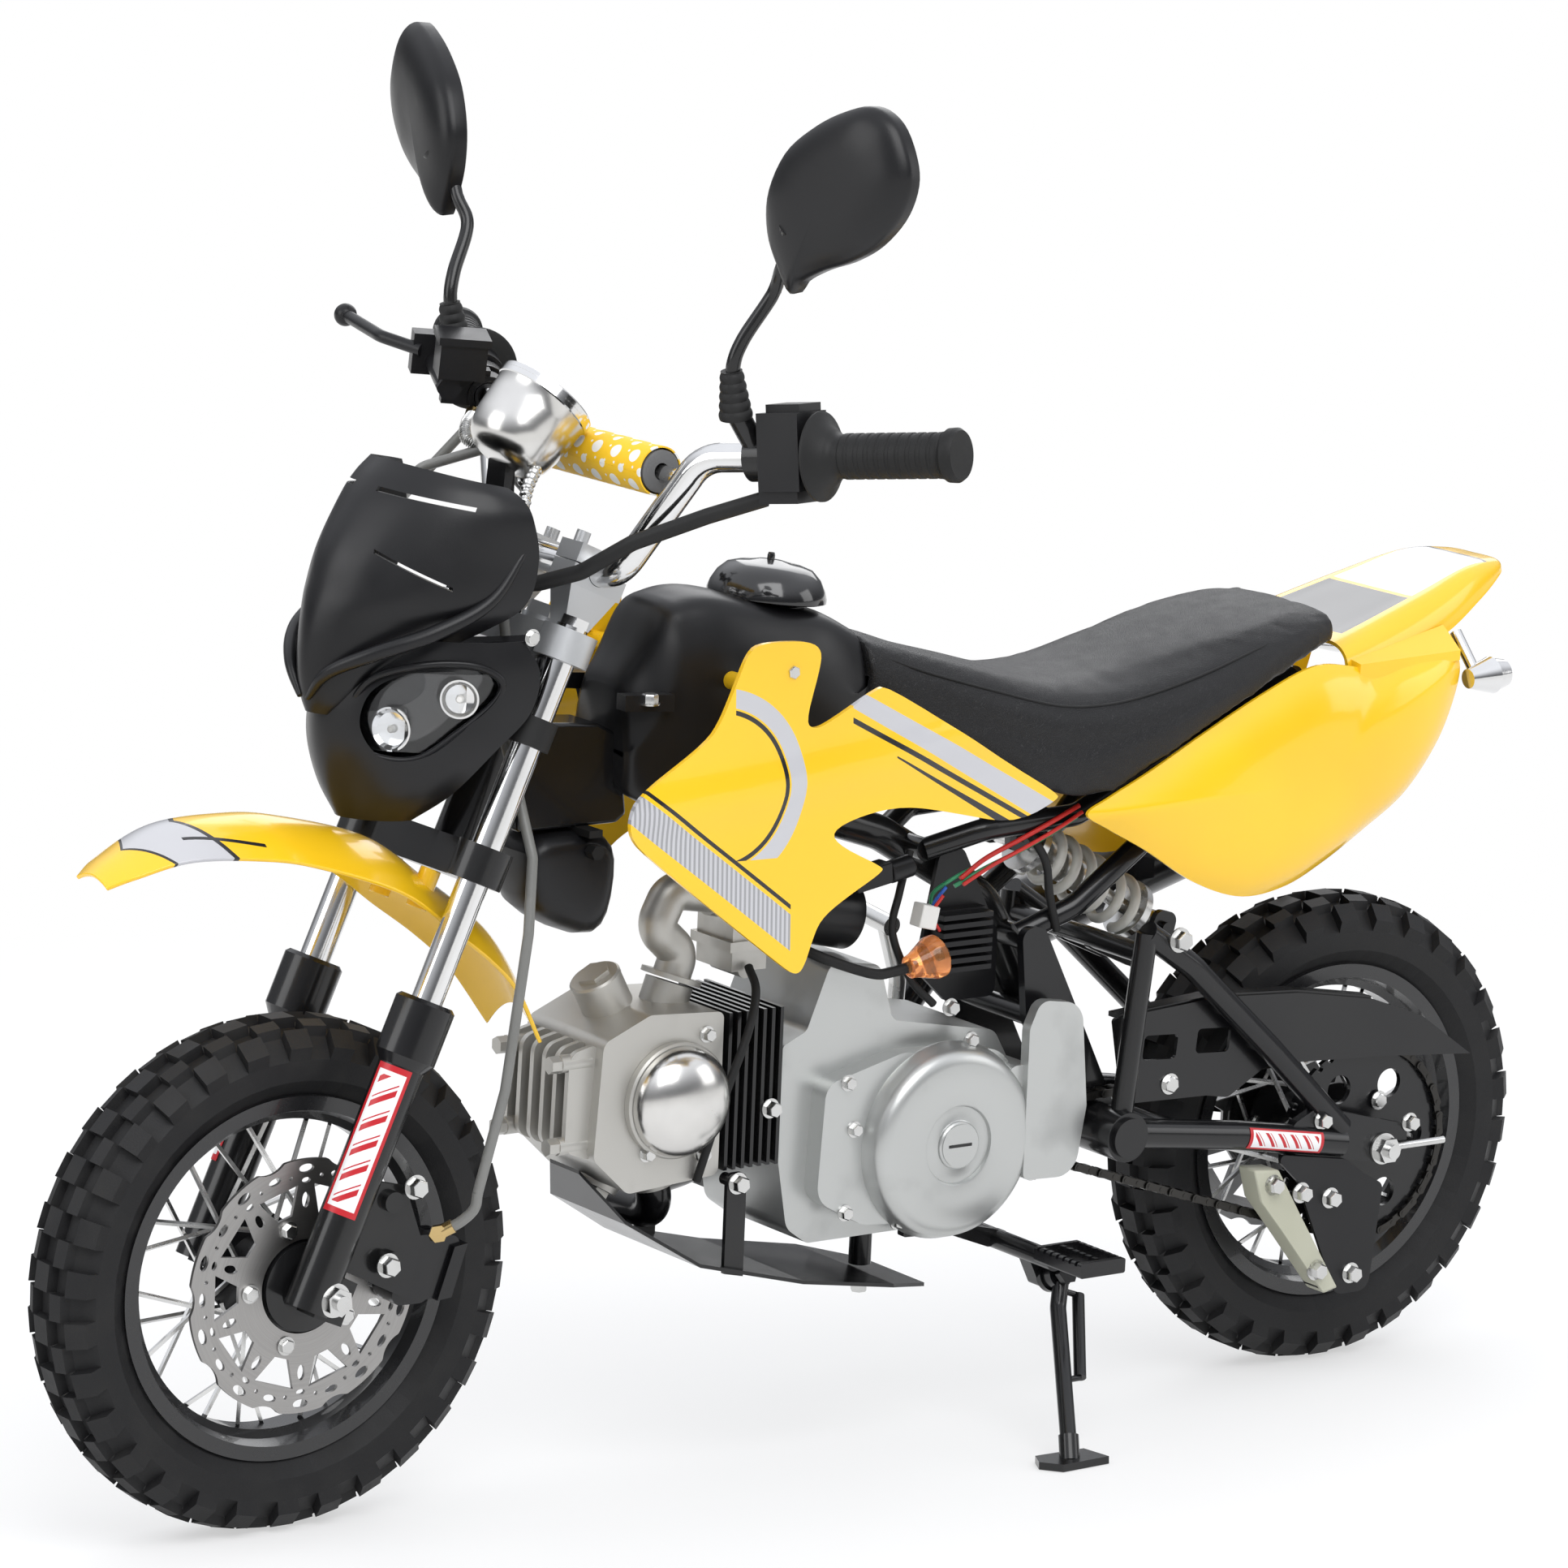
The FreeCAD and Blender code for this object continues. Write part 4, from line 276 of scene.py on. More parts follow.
def clean(obj):
    """Merges doubled points, drops flat faces and turns the faces of a new mesh outwards."""
    work = bmesh.new()
    work.from_mesh(obj.data)
    bmesh.ops.remove_doubles(work, verts=work.verts, dist=2e-6)
    bmesh.ops.dissolve_degenerate(work, dist=1e-6, edges=work.edges)
    bmesh.ops.recalc_face_normals(work, faces=work.faces)
    work.to_mesh(obj.data)
    work.free()


def bar_spot(from_end):
    """A point on the left straight end of the handlebar, and its direction outwards."""
    along = unit(BAR[2] - BAR[1])
    return BAR[2] - along * from_end, along


def hexagon_bolt(across, height):
    """A hexagon head with a chamfered top, turned with six sides, on a round washer."""
    r, washer = across / math.sqrt(3), 1.2
    head = [(0, 0), (r, 0), (r, height * 0.82), (r * 0.86, height), (0, height)]
    return Shell().turned(head, (0, 0, 0), UP, 6).rod(r * 1.25, -washer, 0, (0, 0, 0), UP, 20)


def coil(start, end, radius, wire, turns, points_a_turn):
    """A helix round a line: centre + radius (cos t, sin t), rising evenly."""
    t = np.linspace(0, 2 * math.pi * turns, int(turns * points_a_turn))
    m = turn_to(end - start)
    centre = start + (end - start) * np.linspace(0, 1, len(t))[:, None]
    path = centre + radius * (np.cos(t)[:, None] * m[:, 0] + np.sin(t)[:, None] * m[:, 1])
    return Shell().swept(path, wire, up=tuple(m[:, 2]))


def prism(outline, low, high):
    """A closed slab: an outline in side view (x, z) between two distances y from the middle."""
    flat = np.asarray(outline, float)
    ends = [np.stack([flat[:, 0], np.full(len(flat), float(y)), flat[:, 1]], -1) for y in (low, high)]
    return Shell().sheet(np.stack(ends), close_columns=True, caps=True)


def sections(rows, shape, around, along):
    """A closed skin through table rows: shape gives each row's ring of points, smoothed both ways."""
    rings = np.array([shape(row) for row in rows], float)
    return smooth(smooth(rings, around, 1, True), along, 0)


def both_sides(x, left):
    """A closed ring at x: (y, z) points down the left side from the middle, and back up the right."""
    return [(x, y, z) for y, z in left] + [(x, -y, z) for y, z in reversed(left[1:])]


# Looks

class Value:
    """A socket in a node tree; sums, products, powers and comparisons on it add Math nodes."""

    def __init__(self, nodes, socket):
        self.nodes, self.socket = nodes, socket

    def maths(self, operation, *others):
        """A Math node on this value and others."""
        return self.nodes.node("ShaderNodeMath", {"operation": operation}, dict(enumerate((self,) + others)))

    def __add__(self, other):
        return self.maths("ADD", other)

    def __sub__(self, other):
        return self.maths("SUBTRACT", other)

    def __rsub__(self, other):
        return self * -1 + other

    def __mul__(self, other):
        return self.maths("MULTIPLY", other)

    def __pow__(self, other):
        return self.maths("POWER", other)

    def __abs__(self):
        return self.maths("ABSOLUTE")

    def __lt__(self, other):
        return self.maths("LESS_THAN", other)

    def __gt__(self, other):
        return self.maths("GREATER_THAN", other)

    __radd__, __rmul__ = __add__, __mul__


class Nodes:
    """A node tree in the making, of a material or of the world."""

    def __init__(self, owner, output):
        owner.use_nodes = True
        self.tree = owner.node_tree
        self.tree.nodes.clear()
        self.out = self.tree.nodes.new(output).inputs[0]

    def node(self, kind, settings=None, sockets=None, output=0):
        """Any node: its settings first, then values or links for its sockets by name or number."""
        made = self.tree.nodes.new(kind)
        for key, value in (settings or {}).items():
            setattr(made, key, value)
        for key, value in (sockets or {}).items():
            self.join(value, made.inputs[key])
        return Value(self, made.outputs[output])

    def join(self, value, socket):
        """Links a value to a socket, or sets the socket to a number or a colour."""
        if isinstance(value, Value):
            self.tree.links.new(value.socket, socket)
        elif hasattr(socket.default_value, "__len__") and len(socket.default_value) == 4 and len(value) == 3:
            socket.default_value = tuple(value) + (1.0,)
        else:
            socket.default_value = value

    def parts(self, vector):
        """The three numbers of a vector."""
        made = self.node("ShaderNodeSeparateXYZ", sockets={0: vector})
        return tuple(Value(self, out) for out in made.socket.node.outputs)

    def seen_by(self, *rays):
        """1 for the kinds of rays that are named, 0 for the others."""
        path = [self.node("ShaderNodeLightPath", output="Is %s Ray" % ray) for ray in rays]
        seen = path[0]
        for other in path[1:]:
            seen = seen.maths("MAXIMUM", other)
        return seen


class Look(Nodes):
    """A material in the making, with one Principled shader."""

    def __init__(self, name):
        self.material = bpy.data.materials.new(name)
        super().__init__(self.material, "ShaderNodeOutputMaterial")
        self.shader = self.node("ShaderNodeBsdfPrincipled")
        self.join(self.shader, self.out)

    def spot(self):
        """Object coordinates as one vector."""
        return self.node("ShaderNodeTexCoord", output="Object")

    def bike(self):
        """Upright bike coordinates in metres from Object coordinates: the lean undone."""
        x, y, z = self.parts(self.spot())
        c, s = math.cos(LEAN), math.sin(LEAN)
        y, z = y + DATUM[1] / 1000, z + DATUM[2] / 1000
        return x + DATUM[0] / 1000, y * c - z * s, y * s + z * c

    def from_axle(self, axle):
        """Distance in metres from a wheel's axle at an x, by the two legs of the right triangle."""
        x, y, z = self.bike()
        return ((x - axle) ** 2 + (z - TYRE_RADIUS / 1000) ** 2) ** 0.5

    def uv(self):
        """The piece's own u and v."""
        return self.parts(self.node("ShaderNodeTexCoord", output="UV"))[:2]

    def noise(self, scale, detail=3.0, vector=None):
        """Even noise from 0 to 1 at a scale in Object coordinates."""
        sockets = {"Vector": vector or self.spot(), "Scale": scale, "Detail": detail}
        return self.node("ShaderNodeTexNoise", sockets=sockets)

    def mix(self, factor, first, second):
        """The first colour where the factor is 0, the second where it is 1."""
        return self.node("ShaderNodeMix", {"data_type": "RGBA"}, {0: factor, 6: first, 7: second}, 2)

    def between(self, value, low, high):
        """0 below low, 1 above high, straight between."""
        return self.node("ShaderNodeMapRange", sockets={0: value, 1: low, 2: high})

    def printed(self, base, mask, ink):
        """An ink over a base where a mask, which may add up past 1, isn't 0."""
        return self.mix(mask.maths("MINIMUM", 1.0), base, ink)

    def bump(self, height, distance):
        """A height from 0 to 1 as a Normal, its depth in metres."""
        return self.node("ShaderNodeBump", sockets={"Strength": 1.0, "Distance": distance, "Height": height})

    def surface(self, **sockets):
        """Sets the shader's sockets and gives the finished material."""
        for key, value in sockets.items():
            self.join(value, self.shader.socket.node.inputs[key.replace("_", " ")])
        return self.material


def tone(colour, share):
    """A colour, darker or lighter by a share."""
    return tuple(min(1, c * share) for c in colour)


def banded(value, low, high):
    """1 between two levels, 0 outside."""
    return (value > low) * (value < high)


def plastic(name, colour, shade, roughness, coat=0.0, grain=900, depth=0.00003, shine=0.5):
    """Moulded or painted: slow drift between two shades, fine texture, roughness that varies a little."""
    look = Look(name)
    drift = look.noise(7, 2)
    fine = look.noise(grain, 2)
    return look.surface(Base_Color=look.mix(look.between(drift, 0.35, 0.65), colour, shade),
                        Roughness=roughness + (look.noise(40, 3) - 0.5) * (roughness * 0.5),
                        Specular_IOR_Level=shine, Coat_Weight=coat, Coat_Roughness=0.08,
                        Normal=look.bump(fine, depth))


def bright(name, colour, roughness, smudge=0.06):
    """Plated metal with faint smudges in its gloss."""
    look = Look(name)
    marks = look.noise(28, 5)
    return look.surface(Base_Color=look.mix(look.between(marks, 0.3, 0.8), colour, tone(colour, 0.9)),
                        Metallic=1.0, Roughness=roughness + look.between(marks, 0.45, 0.75) * smudge,
                        Normal=look.bump(look.noise(260, 2), 0.00001))


def cast_alloy(name, colour, roughness):
    """Painted die casting: sand-fine grain, a little dirt gathered in patches."""
    look = Look(name)
    grain = look.noise(1400, 2)
    dirt = look.between(look.noise(16, 6), 0.55, 0.8)
    return look.surface(Base_Color=look.mix(dirt * 0.45, colour, tone(colour, 0.62)), Metallic=0.75,
                        Roughness=roughness + dirt * 0.2 + grain * 0.06, Normal=look.bump(grain, 0.00005))


def turned_steel(name, colour, axle):
    """Disc steel ground in rings about a wheel's axle: noise by radius, hardly changing along a ring."""
    look = Look(name)
    rings = {0: look.from_axle(axle) * 60, 1: look.noise(3, 1) * 0.4}
    lines = look.noise(22, 4, look.node("ShaderNodeCombineXYZ", sockets=rings))
    return look.surface(Base_Color=look.mix(lines, colour, tone(colour, 0.7)), Metallic=1.0,
                        Roughness=0.3 + lines * 0.16, Normal=look.bump(lines, 0.00004))


def tyre_rubber():
    """Tyre: black with a little dust in patches and specks."""
    look = Look("tyre_rubber")
    dust = look.between(look.noise(30, 6), 0.45, 0.8)
    speck = look.noise(700, 3)
    base = look.mix(dust * 0.4 + speck * 0.16, (0.008, 0.008, 0.009), (0.036, 0.035, 0.033))
    return look.surface(Base_Color=base, Roughness=0.55 + dust * 0.25, Specular_IOR_Level=0.3,
                        Normal=look.bump(speck, 0.00012))


def seat_vinyl():
    """Black vinyl with a small leathery grain of cells."""
    look = Look("seat_vinyl")
    cells = look.node("ShaderNodeTexVoronoi", {"feature": "DISTANCE_TO_EDGE"},
                      {"Vector": look.spot(), "Scale": 620.0})
    wide = look.noise(9, 3)
    return look.surface(Base_Color=look.mix(wide, (0.007, 0.007, 0.008), (0.013, 0.013, 0.014)),
                        Roughness=0.36 + look.noise(60, 3) * 0.16, Specular_IOR_Level=0.36,
                        Normal=look.bump(look.between(cells, 0.0, 0.12), 0.00018))


def all_looks(yellow):
    """The finishes, by name, with the plastic's colour."""
    return {
        "yellow": plastic("yellow_plastic", yellow, tone(yellow, 0.92), 0.22, coat=0.5, grain=500,
                          depth=0.00002),
        "black": plastic("black_plastic", (0.006, 0.006, 0.007), (0.011, 0.011, 0.012), 0.33, grain=1300,
                         depth=0.00004, shine=0.34),
        "gloss": plastic("gloss_black", (0.008, 0.008, 0.009), (0.012, 0.012, 0.013), 0.14, coat=0.6,
                         grain=500),
        "paint": plastic("black_paint", (0.006, 0.006, 0.007), (0.01, 0.01, 0.01), 0.24, coat=0.25, grain=700,
                         shine=0.35),
        "rubber": plastic("soft_rubber", (0.008, 0.008, 0.008), (0.014, 0.014, 0.014), 0.55, grain=1600,
                          depth=0.00008, shine=0.3),
        "white": plastic("cream_paint", (0.80, 0.79, 0.73), (0.74, 0.73, 0.67), 0.3, coat=0.3, grain=600),
        "chrome": bright("chrome", (0.8, 0.8, 0.8), 0.1),
        "soft_chrome": bright("soft_chrome", (0.74, 0.73, 0.71), 0.2, 0.1),
        "brass": bright("brass", (0.6, 0.44, 0.2), 0.25, 0.12),
        "zinc": bright("zinc_steel", (0.66, 0.66, 0.65), 0.22, 0.16),
        "label": striped_label(),
        "case": cast_alloy("painted_case", (0.52, 0.53, 0.52), 0.3),
        "head": cast_alloy("raw_casting", (0.52, 0.51, 0.48), 0.4),
        "clamp": cast_alloy("cast_clamp", (0.52, 0.53, 0.54), 0.36),
        "disc_front": turned_steel("disc_front_steel", (0.45, 0.44, 0.43), WHEELBASE / 1000),
        "disc_rear": turned_steel("disc_rear_steel", (0.3, 0.3, 0.3), 0.0),
        "wheel_front": wheel_metal("front_wheel_metal", WHEELBASE / 1000),
        "wheel_rear": wheel_metal("rear_wheel_metal", 0.0),
        "wing": striped_plastic("wing_plastic", yellow, "wing"),
        "nose": striped_plastic("nose_plastic", yellow, "nose"),
        "deck": striped_plastic("deck_plastic", yellow, "deck"),
        "dots": dotted_cloth(yellow),
        "glass": clear("clear_lens", (0.95, 0.97, 1.0)),
        "amber": clear("amber_lens", (0.95, 0.38, 0.12), 0.8),
        "dial": dial_face(),
        "dark": bright("oiled_chain", (0.055, 0.053, 0.05), 0.32, 0.2),
        "braid": plastic("braided_hose", (0.2, 0.2, 0.19), (0.13, 0.13, 0.12), 0.38, grain=700, depth=0.0002),
        "cream": plastic("cream_nylon", (0.5, 0.5, 0.4), (0.44, 0.44, 0.34), 0.42),
        "foam": plastic("grey_foam", (0.16, 0.16, 0.16), (0.11, 0.11, 0.11), 0.8, grain=420, depth=0.0004),
        "red": plastic("red_wire", (0.55, 0.02, 0.015), (0.5, 0.02, 0.015), 0.35),
        "green": plastic("green_wire", (0.02, 0.22, 0.09), (0.02, 0.2, 0.08), 0.35),
        "blue": plastic("blue_wire", (0.02, 0.1, 0.45), (0.02, 0.1, 0.4), 0.35),
        "plug": plastic("white_plug", (0.72, 0.71, 0.68), (0.68, 0.67, 0.64), 0.4),
        "tyre": tyre_rubber(),
        "vinyl": seat_vinyl(),
    }


def wheel_metal(name, axle):
    """Spokes and rim in one node: black enamel outside a radius, bright wire inside it."""
    look = Look(name)
    rim_from = 0.1165
    black = look.from_axle(axle) > rim_from
    marks = look.noise(60, 4)
    return look.surface(Base_Color=look.mix(black, (0.72, 0.72, 0.71), (0.012, 0.012, 0.013)),
                        Metallic=1.0 - black, Roughness=0.2 + marks * 0.16, Coat_Weight=black * 0.4,
                        Normal=look.bump(look.noise(500, 2), 0.00002))


def striped_plastic(name, yellow, kind):
    """Yellow moulding with plain printed bands, drawn with distances from lines and arcs in bike mm."""
    look = Look(name)
    x, y, z = (part * 1000 for part in look.bike())
    hatch = None
    if kind == "wing":
        below = (x - 425) * 0.4624 - (z - 553) * 0.8862
        above = (z - 422) * 0.7935 - (x - 645) * 0.6087
        ring = ((x - 705) ** 2 + (z - 560) ** 2) ** 0.5
        rear, ahead = x < 585, x > 640
        arc = (x < 690) * (z > 505) * (below > 6)
        grey = banded(below, 7, 25 - (x - 380) * 0.02) * rear + banded(ring, 62, 76) * arc
        grey = grey + banded(above, 12, 34) * ahead * (z < 560)
        line = banded(below, 27, 31) * rear + banded(below, 37, 45 - (x - 380) * 0.04) * (x < 545)
        line = line + banded(ring, 57, 60.5) * arc + banded(above, 37, 40) * ahead
        hatch = banded(above, 12, 34) * ahead * ((x * 1.6).maths("SINE") > 0.1)
    elif kind == "nose":
        tip = (x - 1092) + abs(y) * 0.5
        grey = banded(tip, 4, 42)
        rails = banded(abs(abs(y) - 26 - (1100 - x) * 0.3), 0, 1.6) * banded(x, 1040, 1100)
        line = banded(tip, 0, 4) + banded(tip, 42, 44) + rails
    else:
        flat = abs(y) < 50 + (x + 30) * 0.12
        grey = banded(x, -118, -34) * flat
        line = (banded(x, -30, 46) + banded(x, -122, -118)) * flat
    base = look.mix(look.noise(6, 2), yellow, tone(yellow, 0.93))
    base = look.printed(base, grey, (0.5, 0.5, 0.52))
    if hatch is not None:
        base = look.mix(hatch, base, (0.3, 0.3, 0.31))
    base = look.printed(base, line, (0.01, 0.01, 0.012))
    return look.surface(Base_Color=base, Roughness=0.2 + look.noise(30, 3) * 0.08, Coat_Weight=0.5,
                        Coat_Roughness=0.06, Normal=look.bump(look.noise(600, 2), 0.00002))


def dotted_cloth(yellow):
    """Printed pad cover: white round dots of three sizes on yellow, in the cover's own UV."""
    look = Look("dotted_cover")
    u, v = look.uv()
    dots = None
    for turns, rows, shift, size in ((5, 8, 0.0, 0.23), (5, 8, 0.5, 0.14), (10, 16, 0.27, 0.09)):
        a, b = u * turns + shift, v * rows + shift
        a, b = a - a.maths("FLOOR") - 0.5, b - b.maths("FLOOR") - 0.5
        one = (a ** 2 + b ** 2) < size ** 2
        dots = one if dots is None else dots.maths("MAXIMUM", one)
    weave = look.noise(900, 2)
    return look.surface(Base_Color=look.mix(dots, yellow, (0.85, 0.84, 0.8)), Roughness=0.45 + weave * 0.2,
                        Normal=look.bump(weave, 0.00006))


def striped_label():
    """White label with a red frame and plain slanting bars, in its own UV."""
    look = Look("striped_label")
    white, red = (0.8, 0.8, 0.8), (0.5, 0.012, 0.02)
    u, v = look.uv()
    edge = (abs(u - 0.5) > 0.40).maths("MAXIMUM", abs(v - 0.5) > 0.46)
    inner = (abs(u - 0.5) > 0.30).maths("MAXIMUM", abs(v - 0.5) > 0.43)
    slant = (v * 6 + u * 1.2).maths("FRACT")
    base = look.printed(white, banded(slant, 0.15, 0.42) + banded(slant, 0.55, 0.62), red)
    base = look.mix(edge, look.mix(inner, base, white), red)
    return look.surface(Base_Color=base, Roughness=0.3 + look.noise(60, 2) * 0.1)


def clear(name, tint, weight=1.0):
    """Moulded clear lens with a faint haze."""
    look = Look(name)
    haze = look.noise(12, 2)
    return look.surface(Base_Color=look.mix(haze, tint, tone(tint, 1.05)), Roughness=0.01 + haze * 0.03,
                        Transmission_Weight=weight, IOR=1.45)


def dial_face():
    """Speedometer dial: black, white ticks round its edge by angle in UV, a red pointer."""
    look = Look("dial_face")
    u, v = look.uv()

    def ticks(count, width, length):
        """Lines at even steps of u, as long from the edge as asked for."""
        step = u * count
        return (abs(step - step.maths("ROUND")) < width) * banded(v, 0.06, length)
    pointer = (abs(u - 0.36) < 0.01) * (v > 0.3)
    base = look.printed((0.012, 0.012, 0.014), ticks(40, 0.12, 0.14) + ticks(10, 0.05, 0.24),
                        (0.85, 0.85, 0.85))
    base = look.mix(pointer, base, (0.6, 0.03, 0.02))
    return look.surface(Base_Color=base, Roughness=0.4 + look.noise(80, 2) * 0.1)


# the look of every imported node
CAD_FINISH = {
    "tyre": "front_tyre rear_tyre",
    "chrome": "fork_tubes handlebar speedometer rear_lamps",
    "wheel_front": "front_rim",
    "wheel_rear": "rear_rim",
    "zinc": "front_axle rear_axle shock_damper kick_starter",
    "case": "engine_case",
    "head": "cylinder_head carburettor",
    "clamp": "upper_clamp",
    "disc_front": "front_disc",
    "disc_rear": "rear_disc",
    "paint": "lower_clamp frame swingarm exhaust skid_plate chain_guard footpegs side_stand brake_pedal "
             "rear_caliper front_caliper fork_sliders front_hub rear_hub rear_sprocket cylinder",
    "black": "headlight_mask switch_box brake_master mirrors tank regulator air_filter chain_guide headlight",
    "gloss": "tank_cap",
    "rubber": "grips wiring_loom fuel_filter",
    "braid": "brake_hose",
    "wing": "shrouds",
    "yellow": "front_fender rear_fender crossbar_pad",
    "white": "shock_spring",
    "vinyl": "seat",
    "dark": "chain",
}


# Operators

class BikeSizes(bpy.types.PropertyGroup):
    """Colours and sizes that someone might change."""
    yellow: bpy.props.FloatVectorProperty(name="Plastic colour", description="Colour of fenders and shrouds",
                                          subtype="COLOR", size=3, default=(0.93, 0.555, 0.012), min=0, max=1)
    seat_swell: bpy.props.FloatProperty(name="Seat swell", default=0.003, unit="LENGTH", min=0, max=0.01,
                                        description="How far the foam may push the cover out")


class BIKE_OT_stage(bpy.types.Operator):
    """Camera, soft lights and a pale floor"""
    bl_idname, bl_label = "bike.stage", "Stage"

    def execute(self, context):
        scene = context.scene
        scene.view_settings.view_transform = "Standard"
        camera = bpy.data.objects.new("camera", bpy.data.cameras.new("camera"))
        scene.collection.objects.link(camera)
        eye, target = np.array((3.2037, 4.4007, 1.3089)), np.array((0.0214, -0.0719, 0.5188))
        camera.location = eye
        camera.rotation_euler = aim(target - eye)
        camera.data.lens, camera.data.sensor_width = 164.03, 36.0
        scene.camera = camera
        # name, place, size in metres, watts, what it points at
        lamps = (("key", (1.2, 3.2, 3.6), 3.2, 118, (0, 0, 0.4)),
                 ("front", (4.2, -0.6, 2.2), 2.4, 46, (0.2, 0, 0.5)),
                 ("back", (-2.8, -2.6, 2.8), 2.6, 34, (0, 0, 0.5)),
                 ("tail", (-3.6, 2.6, 1.8), 2.0, 24, (-0.2, 0, 0.5)))
        for name, place, size, watts, towards in lamps:
            lamp = bpy.data.objects.new(name, bpy.data.lights.new(name, "AREA"))
            lamp.data.energy, lamp.data.size = watts, size
            lamp.location, lamp.rotation_euler = place, aim(np.array(towards) - np.array(place))
            scene.collection.objects.link(lamp)
        white_world(scene)
        mesh = bpy.data.meshes.new("floor")
        mesh.from_pydata([(x * 90, y * 90, -0.0005) for x, y in ((-1, -1), (1, -1), (1, 1), (-1, 1))], [],
                         [(0, 1, 2, 3)])
        floor = bpy.data.objects.new("floor", mesh)
        scene.collection.objects.link(floor)
        look = Look("floor")
        drift = look.noise(2, 2)
        mesh.materials.append(look.surface(Base_Color=look.mix(drift, (0.86, 0.86, 0.86), (0.9, 0.9, 0.9)),
                                           Roughness=0.6 + drift * 0.1))
        lifted(look)
        return {"FINISHED"}


def aim(direction):
    """Euler angles that point an object's -Z along a direction."""
    return Vector(direction).to_track_quat("-Z", "Y").to_euler()


def lifted(look):
    """Mixes white light into what the camera, gloss and glass see of the floor, more of it far out."""
    x, y, z = look.parts(look.spot())
    far = look.between((x ** 2 + y ** 2) ** 0.5, 0.6, 2.6)
    seen = look.seen_by("Camera", "Glossy", "Transmission") * (far * 0.45 + 0.55)
    white = look.node("ShaderNodeEmission", sockets={0: (1.0, 1.0, 1.0), 1: 1.0})
    look.join(look.node("ShaderNodeMixShader", sockets={0: seen, 1: look.shader, 2: white}), look.out)


def white_world(scene):
    """A world that is white to the camera and through glass, and dimmer as light."""
    world = bpy.data.worlds.new("studio")
    nodes = Nodes(world, "ShaderNodeOutputWorld")
    # dark at the horizon, bright overhead, so that plated metal shows a studio's contrast
    height = nodes.parts(nodes.node("ShaderNodeTexCoord", output="Generated"))[2]
    strength = nodes.node("ShaderNodeMapRange", {"interpolation_type": "SMOOTHSTEP"},
                          {0: height, 1: 0.05, 2: 0.75, 3: 0.16, 4: 1.15})
    dim = nodes.node("ShaderNodeBackground", sockets={0: (0.93, 0.95, 1.0), 1: strength})
    white = nodes.node("ShaderNodeBackground", sockets={0: (1.0, 1.0, 1.0), 1: 1.0})
    seen = nodes.seen_by("Camera", "Transmission")
    nodes.join(nodes.node("ShaderNodeMixShader", sockets={0: seen, 1: dim, 2: white}), nodes.out)
    scene.world = world


class BIKE_OT_finishes(bpy.types.Operator):
    """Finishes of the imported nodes"""
    bl_idname, bl_label = "bike.finishes", "Finishes"

    def execute(self, context):
        LOOKS.update(all_looks(tuple(context.scene.bike_sizes.yellow)))
        for finish, nodes in CAD_FINISH.items():
            for node in nodes.split():
                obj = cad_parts[node]
                obj.data.materials.clear()
                obj.data.materials.append(LOOKS[finish])
        return {"FINISHED"}


class BIKE_OT_seat(bpy.types.Operator):
    """Foam seat under a stretched vinyl cover"""
    bl_idname, bl_label = "bike.seat", "Seat"

    def execute(self, context):
        # x, half width, top, shoulder drop, lower edge
        rows = ((502, 44, 645, 14, 601), (480, 52, 637, 15, 588), (450, 62, 627, 16, 566),
                (400, 76, 614, 18, 545), (345, 88, 600, 18, 517), (304, 94, 598, 18, 515),
                (262, 97, 603, 18, 532), (210, 98, 615, 18, 559), (150, 94, 629, 14, 586),
                (100, 84, 637, 10, 605), (62, 72, 640, 7, 616))

        def ring(row):
            x, half, top, drop, low = row
            return both_sides(x, [(0, top), (half * 0.4, top - 1), (half * 0.78, top - drop * 0.35),
                                  (half * 0.95, top - drop - 2), (half, top - drop - 14),
                                  (half * 0.99, (top + low) / 2 - 4), (half * 0.97, low + 3),
                                  (half * 0.9, low), (half * 0.4, low + 4)])
        grid = sections(rows, ring, 68, 90)
        skin = Shell().sheet(grid, close_columns=True, caps=True)
        seat = skin.finish("seat_cover", "chassis", "seat_cover", "vinyl", ["seat"])
        swell(context.scene, seat, context.scene.bike_sizes.seat_swell)
        channels = Shell()
        for column in (10, 58):
            # the remeshed cover rounds off its shoulder, so the welt lies that much under the first skin
            across = grid[:, column + 1] - grid[:, column - 1]
            out = unit(np.cross(np.gradient(grid, axis=0)[:, column], across))
            out *= np.sign(out[:, 1:2] * grid[:, column, 1:2])
            channels.swept((grid[:, column] - 2.6 * out)[3:76], 1.1)
        channels.finish("seat_piping", "chassis", "seat_cover", "rubber")
        return {"FINISHED"}


